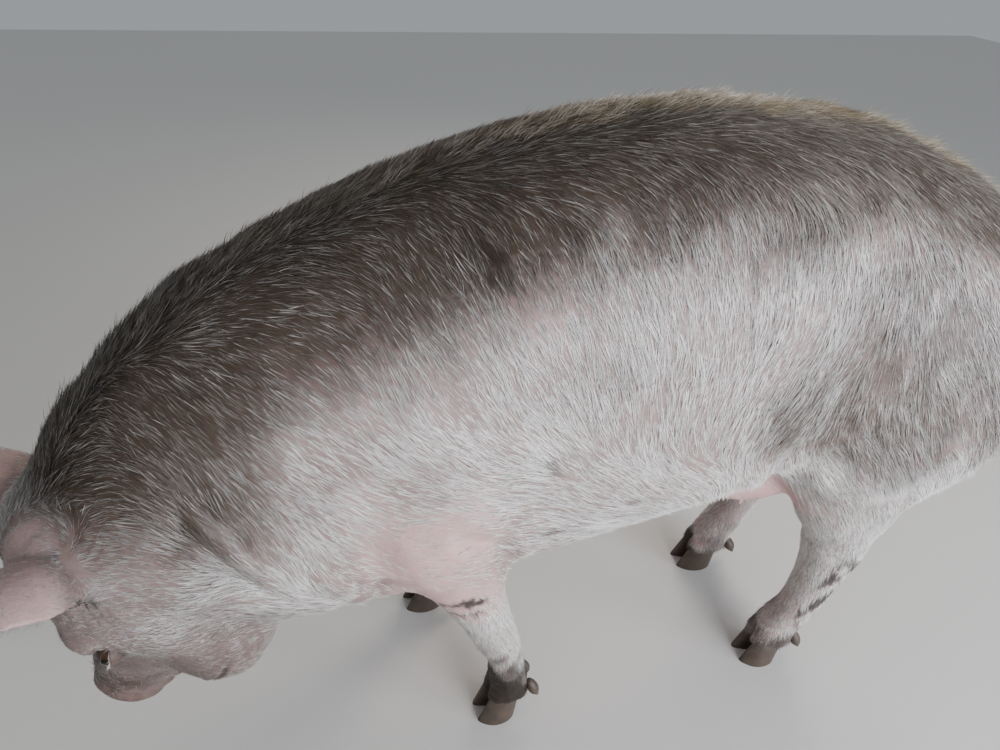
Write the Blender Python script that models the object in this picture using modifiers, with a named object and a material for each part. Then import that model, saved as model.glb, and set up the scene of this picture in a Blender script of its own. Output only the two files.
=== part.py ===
"""A heavy white sow, life size, standing with her head hung to the ground.

Metres, +Z up. She faces -X with her left side towards -Y, and stands on z = 0.
Every section below is drawn on a straight body. curl() bends each shape a little to
her left as it is made, and settle_on_floor() puts the middle of her outline over the
origin at the end. The surfaces stand at the tips of the coat.
"""
import bpy
import bmesh
import math
import numpy as np
from mathutils import Vector

# ---- driving dimensions -------------------------------------------------------
BODY_CURL = 0.48            # curl of the spine to the left, radians per metre
GAP = 0.0004                # clearance left between two neighbouring pieces
FUSE_VOXEL = 0.010          # grain of the fused body before it is thinned out
FUSE_SMOOTHING = 7          # rounds of smoothing over the joins of the lofts
BODY_TRIANGLES = 3600       # triangles kept on the fused body
CORONET_HEIGHT = 0.036      # where the flesh of a foot meets its claws
CLAW_LENGTH = 0.062
CLAW_WIDTH = 0.030
DEWCLAW_LENGTH = 0.034
DEWCLAW_RADIUS = 0.0105
STRIDE_HEIGHT = 0.45        # a leg moves forward or back only below this height
EYE_RADIUS = 0.0125
EYE_PLACE = (-0.735, 0.101, 0.320)
EAR_LENGTH = 0.175
EAR_WIDTH = 0.130
EAR_THICKNESS = 0.011
EAR_SPREAD = {"ear_left": -0.16, "ear_right": 0.32}    # how far each points outwards

# Trunk and neck from the tail root to behind the poll. Each row is the top point
# (x, z), the bottom point (x, z), half the width, how square the section is, and how
# much wider its lower half is than its upper one.
TRUNK_SECTIONS = [
    (0.588, 0.590, 0.584, 0.545, 0.030, 2.0, 0.00),
    (0.574, 0.630, 0.568, 0.520, 0.095, 2.0, 0.00),
    (0.530, 0.677, 0.526, 0.488, 0.156, 2.1, 0.00),
    (0.468, 0.725, 0.468, 0.452, 0.193, 2.2, 0.00),
    (0.365, 0.792, 0.365, 0.412, 0.214, 2.25, 0.02),
    (0.200, 0.850, 0.200, 0.384, 0.224, 2.3, 0.04),
    (0.000, 0.866, 0.000, 0.324, 0.230, 2.3, 0.05),
    (-0.180, 0.844, -0.180, 0.290, 0.223, 2.3, 0.06),
    (-0.350, 0.800, -0.340, 0.270, 0.207, 2.25, 0.08),
    (-0.470, 0.757, -0.430, 0.256, 0.187, 2.2, 0.11),
    (-0.583, 0.701, -0.500, 0.260, 0.168, 2.1, 0.14),
    (-0.682, 0.624, -0.540, 0.272, 0.150, 2.1, 0.14),
    (-0.745, 0.546, -0.570, 0.288, 0.138, 2.0, 0.08),
    (-0.768, 0.474, -0.600, 0.305, 0.118, 2.0, 0.00),
]

# The head hangs: its top line is the face, its bottom line the jowl and jaw. From
# the swing height down it turns away to her right.
SWING_HEIGHT = 0.44
HEAD_SWING = 0.18
HEAD_SECTIONS = [
    (-0.752, 0.520, -0.610, 0.412, 0.085, 2.0, 0.00),
    (-0.788, 0.485, -0.575, 0.368, 0.122, 2.1, 0.00),
    (-0.802, 0.443, -0.546, 0.322, 0.138, 2.2, 0.04),
    (-0.796, 0.398, -0.530, 0.281, 0.142, 2.3, 0.08),
    (-0.779, 0.352, -0.538, 0.241, 0.131, 2.3, 0.08),
    (-0.763, 0.308, -0.566, 0.212, 0.108, 2.3, 0.04),
    (-0.753, 0.264, -0.602, 0.187, 0.084, 2.3, 0.00),
    (-0.749, 0.222, -0.632, 0.161, 0.067, 2.3, 0.00),
    (-0.751, 0.185, -0.656, 0.138, 0.057, 2.3, 0.00),
    (-0.760, 0.158, -0.673, 0.120, 0.053, 2.2, 0.00),
    (-0.762, 0.144, -0.678, 0.108, 0.050, 2.1, 0.00),
]

# Legs from inside the body down to the coronet: centre x, distance from the middle
# plane, height, and the radii along and across the body.
FORELEG_SECTIONS = [
    (-0.372, 0.085, 0.630, 0.050, 0.040),
    (-0.372, 0.112, 0.565, 0.086, 0.062),
    (-0.362, 0.138, 0.490, 0.106, 0.078),
    (-0.348, 0.153, 0.430, 0.097, 0.072),
    (-0.332, 0.158, 0.370, 0.073, 0.058),
    (-0.304, 0.153, 0.310, 0.054, 0.046),
    (-0.277, 0.145, 0.250, 0.041, 0.038),
    (-0.253, 0.137, 0.190, 0.037, 0.037),
    (-0.233, 0.129, 0.135, 0.029, 0.030),
    (-0.222, 0.124, 0.095, 0.032, 0.032),
    (-0.219, 0.121, 0.062, 0.035, 0.034),
    (-0.224, 0.120, 0.030, 0.039, 0.036),
]
HINDLEG_SECTIONS = [
    (0.385, 0.070, 0.700, 0.080, 0.060),
    (0.386, 0.105, 0.620, 0.134, 0.098),
    (0.358, 0.122, 0.535, 0.158, 0.106),
    (0.318, 0.132, 0.465, 0.153, 0.095),
    (0.287, 0.134, 0.405, 0.127, 0.078),
    (0.291, 0.130, 0.345, 0.088, 0.056),
    (0.300, 0.125, 0.290, 0.058, 0.043),
    (0.306, 0.120, 0.245, 0.050, 0.038),
    (0.299, 0.117, 0.190, 0.040, 0.034),
    (0.284, 0.114, 0.130, 0.035, 0.031),
    (0.266, 0.111, 0.092, 0.037, 0.033),
    (0.253, 0.109, 0.060, 0.038, 0.035),
    (0.247, 0.108, 0.030, 0.040, 0.036),
]
# How far behind its sections each foot is set. Negative is towards the head.
LEG_STRIDE = {"foreleg_left": 0.0, "foreleg_right": -0.045,
              "hindleg_left": 0.0, "hindleg_right": -0.035}

# Tail: x, y, z and radius from its root, hanging with a loose curl.
TAIL_SECTIONS = [
    (0.575, 0.000, 0.615, 0.021),
    (0.612, 0.002, 0.603, 0.019),
    (0.638, 0.006, 0.570, 0.0165),
    (0.648, 0.014, 0.520, 0.0145),
    (0.640, 0.030, 0.472, 0.0125),
    (0.628, 0.046, 0.430, 0.0110),
    (0.634, 0.058, 0.388, 0.0095),
    (0.652, 0.062, 0.350, 0.0080),
    (0.664, 0.058, 0.318, 0.0060),
]

WHITE_COAT = (0.74, 0.68, 0.62)
PINK_SKIN = (0.78, 0.50, 0.45)
DARK_HORN = (0.16, 0.12, 0.09)
EYE_BROWN = (0.06, 0.035, 0.02)


# ---- scene and collections ----------------------------------------------------
for old in list(bpy.data.objects):
    bpy.data.objects.remove(old)
parts = bpy.data.collections.new("pig")
cutters = bpy.data.collections.new("cutters")
bpy.context.scene.collection.children.link(parts)
bpy.context.scene.collection.children.link(cutters)


def material(name, colour, roughness):
    made = bpy.data.materials.new(name)
    made.use_nodes = True
    shader = made.node_tree.nodes["Principled BSDF"]
    shader.inputs["Base Color"].default_value = (*colour, 1.0)
    shader.inputs["Roughness"].default_value = roughness
    shader.inputs["Metallic"].default_value = 0.0
    return made


def add_object(name, mesh, colour=WHITE_COAT, roughness=0.8):
    made = bpy.data.objects.new(name, mesh)
    made.data.materials.clear()
    made.data.materials.append(material(name + "_finish", colour, roughness))
    parts.objects.link(made)
    return made


def add_cutter(name, mesh):
    made = bpy.data.objects.new(name, mesh)
    made.hide_render = True
    made.display_type = "WIRE"
    cutters.objects.link(made)
    return made


# ---- lofts --------------------------------------------------------------------
def smooth_rows(rows, steps):
    """Catmull-Rom curve through rows of numbers, with steps rows between two."""
    rows = np.array(rows, dtype=float)
    ends = np.vstack([2 * rows[0] - rows[1], rows, 2 * rows[-1] - rows[-2]])
    out = []
    for i in range(len(rows) - 1):
        before, start, end, after = ends[i:i + 4]
        for k in range(steps):
            t = k / steps
            out.append(0.5 * (2 * start + (end - before) * t
                              + (2 * before - 5 * start + 4 * end - after) * t ** 2
                              + (3 * start - before - 3 * end + after) * t ** 3))
    out.append(rows[-1])
    return out


def signed_power(value, power):
    return math.copysign(abs(value) ** power, value)


def curl(bm):
    """Bend a shape with the spine, about an upright axis on the animal's left."""
    radius = 1.0 / BODY_CURL
    for vert in bm.verts:
        turn = vert.co.x * BODY_CURL
        reach = radius + vert.co.y
        vert.co.x = reach * math.sin(turn)
        vert.co.y = reach * math.cos(turn) - radius


def finished_mesh(name, bm):
    curl(bm)
    bmesh.ops.triangulate(bm, faces=bm.faces)
    bmesh.ops.recalc_face_normals(bm, faces=bm.faces)
    mesh = bpy.data.meshes.new(name)
    bm.to_mesh(mesh)
    bm.free()
    return mesh


def loft_mesh(name, rings):
    """Closed mesh through rings of equally many points, with flat ends."""
    bm = bmesh.new()
    loops = [[bm.verts.new(point) for point in ring] for ring in rings]
    count = len(loops[0])
    for near, far in zip(loops[:-1], loops[1:]):
        for i in range(count):
            j = (i + 1) % count
            bm.faces.new((near[i], near[j], far[j], far[i]))
    bm.faces.new(list(reversed(loops[0])))
    bm.faces.new(loops[-1])
    return finished_mesh(name, bm)


def body_ring(row, points, swing=0.0):
    """Section between a top and a bottom point of the side outline."""
    top = Vector((row[0], 0.0, row[1]))
    bottom = Vector((row[2], 0.0, row[3]))
    middle = (top + bottom) / 2
    up = (top - bottom) / 2
    middle.y = swing * max(0.0, SWING_HEIGHT - middle.z)
    power = 2.0 / row[5]
    ring = []
    for i in range(points):
        turn = 2 * math.pi * i / points
        across = signed_power(math.cos(turn), power) * row[4] * (1.0 - row[6] * math.sin(turn))
        ring.append(middle + up * signed_power(math.sin(turn), power)
                    + Vector((0.0, across, 0.0)))
    return ring


def leg_ring(row, side, stride, points):
    """Level section of a leg. The stride shifts it more the lower it is."""
    x, out, height, along, across = row
    shift = stride * max(0.0, 1.0 - height / STRIDE_HEIGHT)
    ring = []
    for i in range(points):
        turn = 2 * math.pi * i / points
        ring.append(Vector((x + shift + along * math.cos(turn),
                            side * out + across * math.sin(turn), height)))
    return ring


# ---- the fused body -----------------------------------------------------------
def ball(name, centre, radii, segments=20, rings=12):
    bm = bmesh.new()
    bmesh.ops.create_uvsphere(bm, u_segments=segments, v_segments=rings, radius=1.0)
    bmesh.ops.scale(bm, vec=Vector(radii), verts=bm.verts)
    bmesh.ops.translate(bm, vec=Vector(centre), verts=bm.verts)
    return finished_mesh(name, bm)


def side_of(name):
    return -1.0 if name.endswith("left") else 1.0


def leg_mesh(name):
    rows = FORELEG_SECTIONS if name.startswith("foreleg") else HINDLEG_SECTIONS
    rings = [leg_ring(row, side_of(name), LEG_STRIDE[name], 24)
             for row in smooth_rows(rows, 3)]
    return loft_mesh(name, rings)


def join_meshes(name, meshes):
    bm = bmesh.new()
    for mesh in meshes:
        bm.from_mesh(mesh)
    joined = bpy.data.meshes.new(name)
    bm.to_mesh(joined)
    bm.free()
    return joined


def evaluated(obj):
    """The mesh an object has with its modifiers, as a mesh of its own."""
    graph = bpy.context.evaluated_depsgraph_get()
    return bpy.data.meshes.new_from_object(obj.evaluated_get(graph))


def bake_modifiers(obj):
    mesh = evaluated(obj)
    obj.modifiers.clear()
    obj.data = mesh


def on_head(x, y, height):
    """A place on the head, swung with it."""
    return (x, y + HEAD_SWING * (SWING_HEIGHT - height), height)


def fused_body():
    forms = [
        loft_mesh("trunk_form", [body_ring(r, 40) for r in smooth_rows(TRUNK_SECTIONS, 3)]),
        loft_mesh("head_form", [body_ring(r, 40, HEAD_SWING)
                                for r in smooth_rows(HEAD_SECTIONS, 3)]),
    ]
    forms += [leg_mesh(name) for name in LEG_STRIDE]
    # the low swelling of the udder between the thighs, and the brisket
    forms.append(ball("udder_form", (0.150, 0.0, 0.388), (0.120, 0.080, 0.036)))
    forms.append(ball("brisket_form", (-0.430, 0.0, 0.314), (0.140, 0.125, 0.062)))
    # cheeks and brows
    for side in (-1.0, 1.0):
        forms.append(ball("cheek_form", on_head(-0.606, side * 0.076, 0.292),
                          (0.078, 0.072, 0.090)))
        forms.append(ball("brow_form", on_head(-0.750, side * 0.074, 0.352),
                          (0.028, 0.034, 0.030)))
    body = add_object("body", join_meshes("body", forms))
    remesh = body.modifiers.new("fuse", "REMESH")
    remesh.mode = "VOXEL"
    remesh.voxel_size = FUSE_VOXEL
    smooth = body.modifiers.new("soften", "SMOOTH")
    smooth.factor = 0.5
    smooth.iterations = FUSE_SMOOTHING
    bake_modifiers(body)
    thin = body.modifiers.new("thin_out", "DECIMATE")
    quads = len(body.data.polygons)
    thin.ratio = BODY_TRIANGLES / (2.0 * quads)
    bake_modifiers(body)
    return body


# ---- parting the body into its pieces -----------------------------------------
def grown(mesh, amount):
    """A copy of a cutter's mesh, larger by an amount all round."""
    bm = bmesh.new()
    bm.from_mesh(mesh)
    bm.normal_update()
    moves = [(vert, vert.normal * amount) for vert in bm.verts]
    for vert, move in moves:
        vert.co += move
    copy = bpy.data.meshes.new(mesh.name + "_grown")
    bm.to_mesh(copy)
    bm.free()
    return copy


def carve(target, mesh, operation):
    cutter = add_cutter(mesh.name, mesh)
    cut = target.modifiers.new("cut", "BOOLEAN")
    cut.operation = operation
    cut.solver = "EXACT"
    cut.object = cutter
    bake_modifiers(target)


def take_region(body, name, mesh, colour=WHITE_COAT):
    """Move what lies inside a region of the body to a piece of its own."""
    piece = add_object(name, body.data.copy(), colour)
    carve(piece, mesh, "INTERSECT")
    carve(body, grown(mesh, GAP), "DIFFERENCE")
    return piece


def region_box(name, face, along, half_width, height, depth):
    """A box in front of a plane: face is a point of it, along its direction."""
    along = Vector(along).normalized()
    side = Vector((0.0, 1.0, 0.0))
    up = along.cross(side).normalized()
    bm = bmesh.new()
    bmesh.ops.create_cube(bm, size=2.0)
    centre = Vector(face) + along * depth / 2
    for vert in bm.verts:
        local = vert.co.copy()
        vert.co = (centre + along * local.x * depth / 2 + side * local.y * half_width
                   + up * local.z * height / 2)
    return finished_mesh(name, bm)


def leg_region(name):
    """The outer shoulder or thigh and the leg below it, as one rounded form."""
    side = side_of(name)
    stride = LEG_STRIDE[name]
    if name.startswith("foreleg"):
        rows = [(-0.355, 0.235, 0.520, 0.020, 0.012), (-0.355, 0.215, 0.500, 0.075, 0.050),
                (-0.350, 0.185, 0.450, 0.110, 0.085), (-0.340, 0.165, 0.380, 0.110, 0.092),
                (-0.330, 0.160, 0.320, 0.090, 0.080), (-0.270, 0.145, 0.200, 0.085, 0.080),
                (-0.240, 0.135, -0.020, 0.090, 0.080)]
    else:
        rows = [(0.400, 0.245, 0.640, 0.030, 0.015), (0.400, 0.220, 0.610, 0.120, 0.060),
                (0.400, 0.180, 0.540, 0.185, 0.110), (0.375, 0.160, 0.460, 0.190, 0.130),
                (0.345, 0.150, 0.390, 0.160, 0.120), (0.320, 0.140, 0.300, 0.110, 0.095),
                (0.290, 0.125, 0.200, 0.090, 0.080), (0.235, 0.115, -0.020, 0.095, 0.080)]
    rings = [leg_ring(row, side, stride, 14) for row in rows]
    return loft_mesh(name + "_region", rings)


# ---- claws, ears, eyes, tail ---------------------------------------------------
def claw_ring(length, width, inner_side, height, back, points=12):
    """Half-moon outline of one claw, flat on its inner side, pointing to -X."""
    ring = []
    for i in range(points):
        turn = 2 * math.pi * i / points
        along = math.cos(turn)
        across = math.sin(turn)
        toe = 1.0 - 0.28 * max(0.0, along) ** 2
        reach = 0.34 if across * inner_side > 0 else 1.0
        ring.append(Vector((back - along * length / 2, across * reach * width * toe, height)))
    return ring


def claw_mesh(name, centre, side):
    """A main claw: flat sole, wall sloping back to a flat top at the coronet."""
    top = CORONET_HEIGHT - GAP
    half = CLAW_WIDTH * 0.68
    rings = []
    for share, length, width, back in ((0.0, 1.00, 1.00, 0.000), (0.35, 0.95, 0.99, 0.003),
                                       (0.75, 0.84, 0.94, 0.008), (1.0, 0.76, 0.88, 0.011)):
        ring = claw_ring(CLAW_LENGTH * length, half * width, -side, top * share, back)
        rings.append([point + Vector(centre) for point in ring])
    return loft_mesh(name, rings)


def dewclaw_mesh(name, centre, side):
    """A small horn cone behind the fetlock, pointing down and back."""
    along = Vector((0.45, 0.18 * side, -0.87)).normalized()
    across = along.orthogonal().normalized()
    other = along.cross(across)
    rings = []
    for share, size in ((0.0, 0.55), (0.2, 0.95), (0.5, 1.0), (0.8, 0.78), (1.0, 0.35)):
        middle = Vector(centre) + along * (share - 0.4) * DEWCLAW_LENGTH
        ring = []
        for i in range(8):
            turn = 2 * math.pi * i / 8
            ring.append(middle + (across * math.cos(turn) + other * math.sin(turn))
                        * DEWCLAW_RADIUS * size)
        rings.append(ring)
    return loft_mesh(name, rings)


def make_foot(leg, name):
    """Two main claws under a foot and two dewclaws behind it."""
    rows = FORELEG_SECTIONS if name.startswith("foreleg") else HINDLEG_SECTIONS
    foot_x = rows[-1][0] + LEG_STRIDE[name] * (1.0 - rows[-1][2] / STRIDE_HEIGHT)
    foot_y = side_of(name) * rows[-1][1]
    for claw_side in (-1.0, 1.0):
        place = "outer" if claw_side == side_of(name) else "inner"
        centre = (foot_x - 0.018, foot_y + claw_side * (CLAW_WIDTH * 0.24 + 0.0045), 0.0)
        add_object(f"{name}_claw_{place}", claw_mesh(f"{name}_claw_{place}", centre, claw_side),
                   DARK_HORN, 0.55)
        centre = (foot_x + 0.041, foot_y + claw_side * 0.019, 0.052)
        mesh = dewclaw_mesh(f"{name}_dewclaw_{place}", centre, claw_side)
        carve(leg, grown(mesh, GAP), "DIFFERENCE")
        add_object(f"{name}_dewclaw_{place}", mesh, DARK_HORN, 0.55)


def ear_mesh(name, side):
    """A leaf-shaped ear, cupped, leaning forward over the cheek."""
    root = Vector((-0.758, side * 0.092, 0.430))
    along = Vector((-0.78, EAR_SPREAD[name], 0.45)).normalized()
    back = Vector((0.45, -side * 0.50, 0.74))
    back = (back - along * back.dot(along)).normalized()
    across = along.cross(back).normalized()
    # share of the length, half width, cup depth and droop of the leaf
    rows = [(0.00, 0.32, 0.20, 0.000), (0.12, 0.42, 0.26, 0.000), (0.30, 0.50, 0.27, 0.002),
            (0.50, 0.49, 0.22, 0.006), (0.70, 0.39, 0.14, 0.014), (0.86, 0.24, 0.07, 0.024),
            (0.96, 0.11, 0.03, 0.031), (1.00, 0.05, 0.01, 0.034)]
    rings = []
    for share, half, cup, droop in rows:
        middle = root + along * share * EAR_LENGTH - back * droop
        thick = EAR_THICKNESS * (1.0 - 0.55 * share)
        ring = []
        for shell in (0.5, -0.5):
            steps = range(8) if shell > 0 else range(7, -1, -1)
            for k in steps:
                t = -1.0 + 2.0 * k / 7.0
                edge = math.sqrt(max(0.0, 1.0 - abs(t) ** 3))
                bulge = (1.0 - t * t) * cup * EAR_WIDTH
                ring.append(middle + across * t * half * EAR_WIDTH
                            + back * (bulge + shell * thick * (0.35 + 0.65 * edge)))
        rings.append(ring)
    return loft_mesh(name, rings)


def tail_mesh():
    rings = []
    rows = TAIL_SECTIONS
    for i, row in enumerate(rows):
        here = Vector(row[:3])
        ahead = Vector(rows[min(i + 1, len(rows) - 1)][:3])
        behind = Vector(rows[max(i - 1, 0)][:3])
        along = (ahead - behind).normalized()
        across = Vector((0.0, 1.0, 0.0)).cross(along).normalized()
        other = along.cross(across)
        rings.append([here + (across * math.cos(a) + other * math.sin(a)) * row[3]
                      for a in (2 * math.pi * k / 10 for k in range(10))])
    return loft_mesh("tail", rings)


# ---- placing --------------------------------------------------------------------
def settle_on_floor():
    """Put the middle of the outline over the origin and the soles at z = 0."""
    corners = [vert.co for piece in parts.objects for vert in piece.data.vertices]
    low = Vector(min(c[i] for c in corners) for i in range(3))
    high = Vector(max(c[i] for c in corners) for i in range(3))
    shift = Vector(((low.x + high.x) / 2, (low.y + high.y) / 2, low.z))
    for piece in parts.objects:
        for vert in piece.data.vertices:
            vert.co -= shift
        piece.data.shade_smooth()


# ---- build ----------------------------------------------------------------------
body = fused_body()

# flat undersides of the feet, just above the claws
for leg_name in LEG_STRIDE:
    hind = leg_name.startswith("hindleg")
    foot = (HINDLEG_SECTIONS if hind else FORELEG_SECTIONS)[-1]
    under = region_box(leg_name + "_under", (foot[0], side_of(leg_name) * foot[1], CORONET_HEIGHT),
                       (0.0, 0.0, -1.0), 0.09, 0.30, 0.08)
    carve(body, under, "DIFFERENCE")

for leg_name in LEG_STRIDE:
    leg = take_region(body, leg_name, leg_region(leg_name))
    make_foot(leg, leg_name)

head = take_region(body, "head", region_box("head_region", (-0.650, 0.0, 0.425),
                                            (-0.62, 0.0, -0.78), 0.30, 0.62, 0.55))
snout = take_region(head, "snout", region_box("snout_region", (-0.712, 0.0, 0.155),
                                              (-0.16, 0.0, -0.98), 0.15, 0.30, 0.15), PINK_SKIN)
neck = take_region(body, "neck", region_box("neck_region", (-0.440, 0.0, 0.540),
                                            (-0.93, 0.0, -0.36), 0.35, 0.90, 0.50))

for side_name, side in (("left", -1.0), ("right", 1.0)):
    ear = ear_mesh("ear_" + side_name, side)
    ear_piece = add_object("ear_" + side_name, ear, PINK_SKIN)
    carve(ear_piece, grown(head.data, GAP), "DIFFERENCE")
    eye = ball("eye_" + side_name, on_head(EYE_PLACE[0], side * EYE_PLACE[1], EYE_PLACE[2]),
               (EYE_RADIUS,) * 3, 14, 8)
    carve(head, grown(eye, GAP), "DIFFERENCE")
    add_object("eye_" + side_name, eye, EYE_BROWN, 0.1)

tail = add_object("tail", tail_mesh(), PINK_SKIN)
carve(tail, grown(body.data, GAP), "DIFFERENCE")
body.name = "trunk"
body.data.materials[0].name = "trunk_finish"

settle_on_floor()
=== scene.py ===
"""A heavy white sow, life size, standing with her head hung to the ground."""
import math

import bmesh
import bpy
import numpy as np
from mathutils import Matrix, Vector
from mathutils.bvhtree import BVHTree


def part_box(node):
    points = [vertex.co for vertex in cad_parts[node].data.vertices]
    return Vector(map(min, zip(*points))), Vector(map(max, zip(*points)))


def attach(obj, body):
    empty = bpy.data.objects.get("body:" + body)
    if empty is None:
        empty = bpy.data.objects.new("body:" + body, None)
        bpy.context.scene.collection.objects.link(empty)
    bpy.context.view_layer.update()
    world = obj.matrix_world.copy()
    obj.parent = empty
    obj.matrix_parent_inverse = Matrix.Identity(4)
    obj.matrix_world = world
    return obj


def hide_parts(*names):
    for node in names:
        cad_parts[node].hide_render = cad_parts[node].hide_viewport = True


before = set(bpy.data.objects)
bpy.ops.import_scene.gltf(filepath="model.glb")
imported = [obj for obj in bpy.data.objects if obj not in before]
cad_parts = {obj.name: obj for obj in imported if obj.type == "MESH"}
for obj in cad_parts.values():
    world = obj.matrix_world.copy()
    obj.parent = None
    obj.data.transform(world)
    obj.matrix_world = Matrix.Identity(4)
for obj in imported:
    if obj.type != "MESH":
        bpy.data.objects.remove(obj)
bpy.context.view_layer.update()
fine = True

# ---- skin: the body's forms -------------------------------------------------------
# The hide is one sheet over trunk, neck, head, ears, legs and tail, with no seam. On
# a display model it is a single cast skin. It lies under the tips of the bristles by
# the depth of the coat, and is laid out on a straight body before the spine is bent.
SPINE_CURL = 0.48                       # radians of bend to her left per metre
LEFT_EYE = (-0.735, -0.0794, 0.320)     # left eye on the straight body
LEGS = ["foreleg_left", "foreleg_right", "hindleg_left", "hindleg_right"]
FLESH = ["trunk", "neck", "head", "snout", "tail"] + LEGS
EARS = {"left": -1.0, "right": 1.0}
MERGE = 0.00001
OVERLAP = 0.0008                        # growth that closes the gaps between solids
SKIN_VOXEL = 0.0026 if fine else 0.0045
SOFTEN_ROUNDS = 100 if fine else 30
SKIN_TRIANGLES = 192000


def bend(points):
    """From the straight body to the bent one, before it is settled on the floor."""
    points = np.atleast_2d(points)
    reach = 1.0 / SPINE_CURL + points[:, 1]
    turn = points[:, 0] * SPINE_CURL
    return np.stack([reach * np.sin(turn), reach * np.cos(turn) - 1.0 / SPINE_CURL,
                     points[:, 2]], 1)


def middle_of(solid):
    low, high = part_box(solid)
    return (np.array(low) + np.array(high)) / 2


# the move over the floor that settles the bent body in the frame
SETTLED = (bend(LEFT_EYE)[0] - middle_of("eye_left")) * (1, 1, 0)


def to_frame(points):
    return bend(points) - SETTLED


def to_straight(points):
    moved = np.atleast_2d(points) + SETTLED
    across = moved[:, 1] + 1.0 / SPINE_CURL
    return np.stack([np.arctan2(moved[:, 0], across) / SPINE_CURL,
                     np.hypot(moved[:, 0], across) - 1.0 / SPINE_CURL, moved[:, 2]], 1)


def turned(directions, x):
    """Directions on the straight body, turned with the spine at x."""
    turn = x * SPINE_CURL
    return np.stack([directions[:, 0] * np.cos(turn) + directions[:, 1] * np.sin(turn),
                     -directions[:, 0] * np.sin(turn) + directions[:, 1] * np.cos(turn),
                     directions[:, 2]], 1)


def unit(vectors):
    vectors = np.asarray(vectors, dtype=float)
    return vectors / (np.linalg.norm(vectors, axis=-1, keepdims=True) + 1e-12)


def rise(low, high, value):
    """0 below low, 1 above high, smooth between. Falls where low is above high."""
    t = np.clip((value - low) / (high - low), 0.0, 1.0)
    return t * t * (3.0 - 2.0 * t)


def blend(first, second, share):
    return first * (1.0 - share) + second * share


def add_bmesh(target, source):
    """Adds one bmesh's faces to another and frees it."""
    mesh = bpy.data.meshes.new("passing")
    source.to_mesh(mesh)
    source.free()
    target.from_mesh(mesh)
    bpy.data.meshes.remove(mesh)


def grown_node(solid):
    """A merged copy of a solid, a little larger so that it meets its neighbours."""
    bm = bmesh.new()
    bm.from_mesh(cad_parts[solid].data)
    bmesh.ops.remove_doubles(bm, verts=bm.verts, dist=MERGE)
    bm.normal_update()
    for vert in bm.verts:
        vert.co += vert.normal * OVERLAP
    return bm


# Each ear is a leaf of gristle rolled into a funnel at its root. Its rows are the share
# of its length, half the width across the opening, the half angle of the roll, and the
# droop of the leaf.
EAR_LENGTH = 0.168
EAR_SHEET = 0.0062                      # thickness at the root
EAR_SPREAD = {"left": -0.16, "right": 0.32}
EAR_ROWS = [(-0.16, 0.036, 95, 0.000), (0.00, 0.041, 92, 0.000), (0.14, 0.049, 86, 0.000),
            (0.30, 0.055, 74, 0.002), (0.46, 0.056, 62, 0.005), (0.62, 0.050, 52, 0.010),
            (0.76, 0.039, 44, 0.016), (0.88, 0.025, 36, 0.023), (0.96, 0.013, 30, 0.029),
            (1.00, 0.006, 25, 0.032)]
EAR_STEPS = 17


def ear_axes(name):
    """Root, and the directions along the ear, across it and out of its back."""
    side = EARS[name]
    root = Vector((-0.758, side * 0.092, 0.430))
    along = Vector((-0.78, EAR_SPREAD[name], 0.45)).normalized()
    back = Vector((0.45, -side * 0.50, 0.74))
    back = (back - along * back.dot(along)).normalized()
    return root, along, along.cross(back).normalized(), back


def ear_point(name, share, half, roll, droop, t, off):
    """A point at t, from -1 to 1 across the leaf, off its middle layer."""
    root, along, across, back = ear_axes(name)
    radius = half / math.sin(math.radians(min(roll, 90)))
    angle = math.radians(roll) * t
    depth = radius * (math.cos(angle) - math.cos(math.radians(roll)))
    out = across * math.sin(angle) + back * math.cos(angle)
    return (root + along * share * EAR_LENGTH + across * radius * math.sin(angle)
            + back * (depth - droop) + out * off)


def ear_leaf(name):
    """The ear as a closed sheet, lofted from rows along it."""
    bm = bmesh.new()
    rings = []
    for share, half, roll, droop in EAR_ROWS:
        sheet = EAR_SHEET * (1.0 - 0.35 * max(share, 0.0))
        outer, inner = [], []
        for i in range(EAR_STEPS):
            t = -1.0 + 2.0 * i / (EAR_STEPS - 1)
            thin = 0.5 * sheet * (1.0 - 0.15 * t ** 6)
            outer.append(ear_point(name, share, half, roll, droop, t, thin))
            inner.append(ear_point(name, share, half, roll, droop, t, -thin))
        points = to_frame(np.array(outer + inner[::-1]))
        rings.append([bm.verts.new(point) for point in points])
    for near, far in zip(rings[:-1], rings[1:]):
        for i in range(len(near)):
            j = (i + 1) % len(near)
            bm.faces.new((near[i], near[j], far[j], far[i]))
    for ring in (rings[0], rings[-1]):
        for i in range(EAR_STEPS - 1):
            bm.faces.new((ring[i], ring[i + 1], ring[-2 - i], ring[-1 - i]))
    bmesh.ops.recalc_face_normals(bm, faces=bm.faces)
    return bm


# The udder swells between the hind legs. Two rows of teats run along it and the belly,
# each a soft cone.
UDDER = (0.140, 0.086, 0.371)           # middle of its left half, with y outwards
UDDER_RADII = (0.092, 0.046, 0.046)
TEAT_ROW = 0.060
TEAT_FIRST, TEAT_STEP, TEATS = -0.230, 0.076, 6
TEAT_LENGTH, TEAT_WIDTH = 0.022, 0.014
teat_places = []


def shaped_ball(segments, shape, *details):
    """A ball that a function shapes and sets on the straight body, bent with the spine."""
    bm = bmesh.new()
    bmesh.ops.create_uvsphere(bm, u_segments=segments, v_segments=segments * 3 // 4, radius=1.0)
    shaped = shape(np.array([v.co for v in bm.verts]), *details)
    for vert, co in zip(bm.verts, to_frame(shaped)):
        vert.co = co
    return bm


def udder_half(ball, side):
    return ball * UDDER_RADII + (UDDER[0], UDDER[1] * side, UDDER[2])


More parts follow.
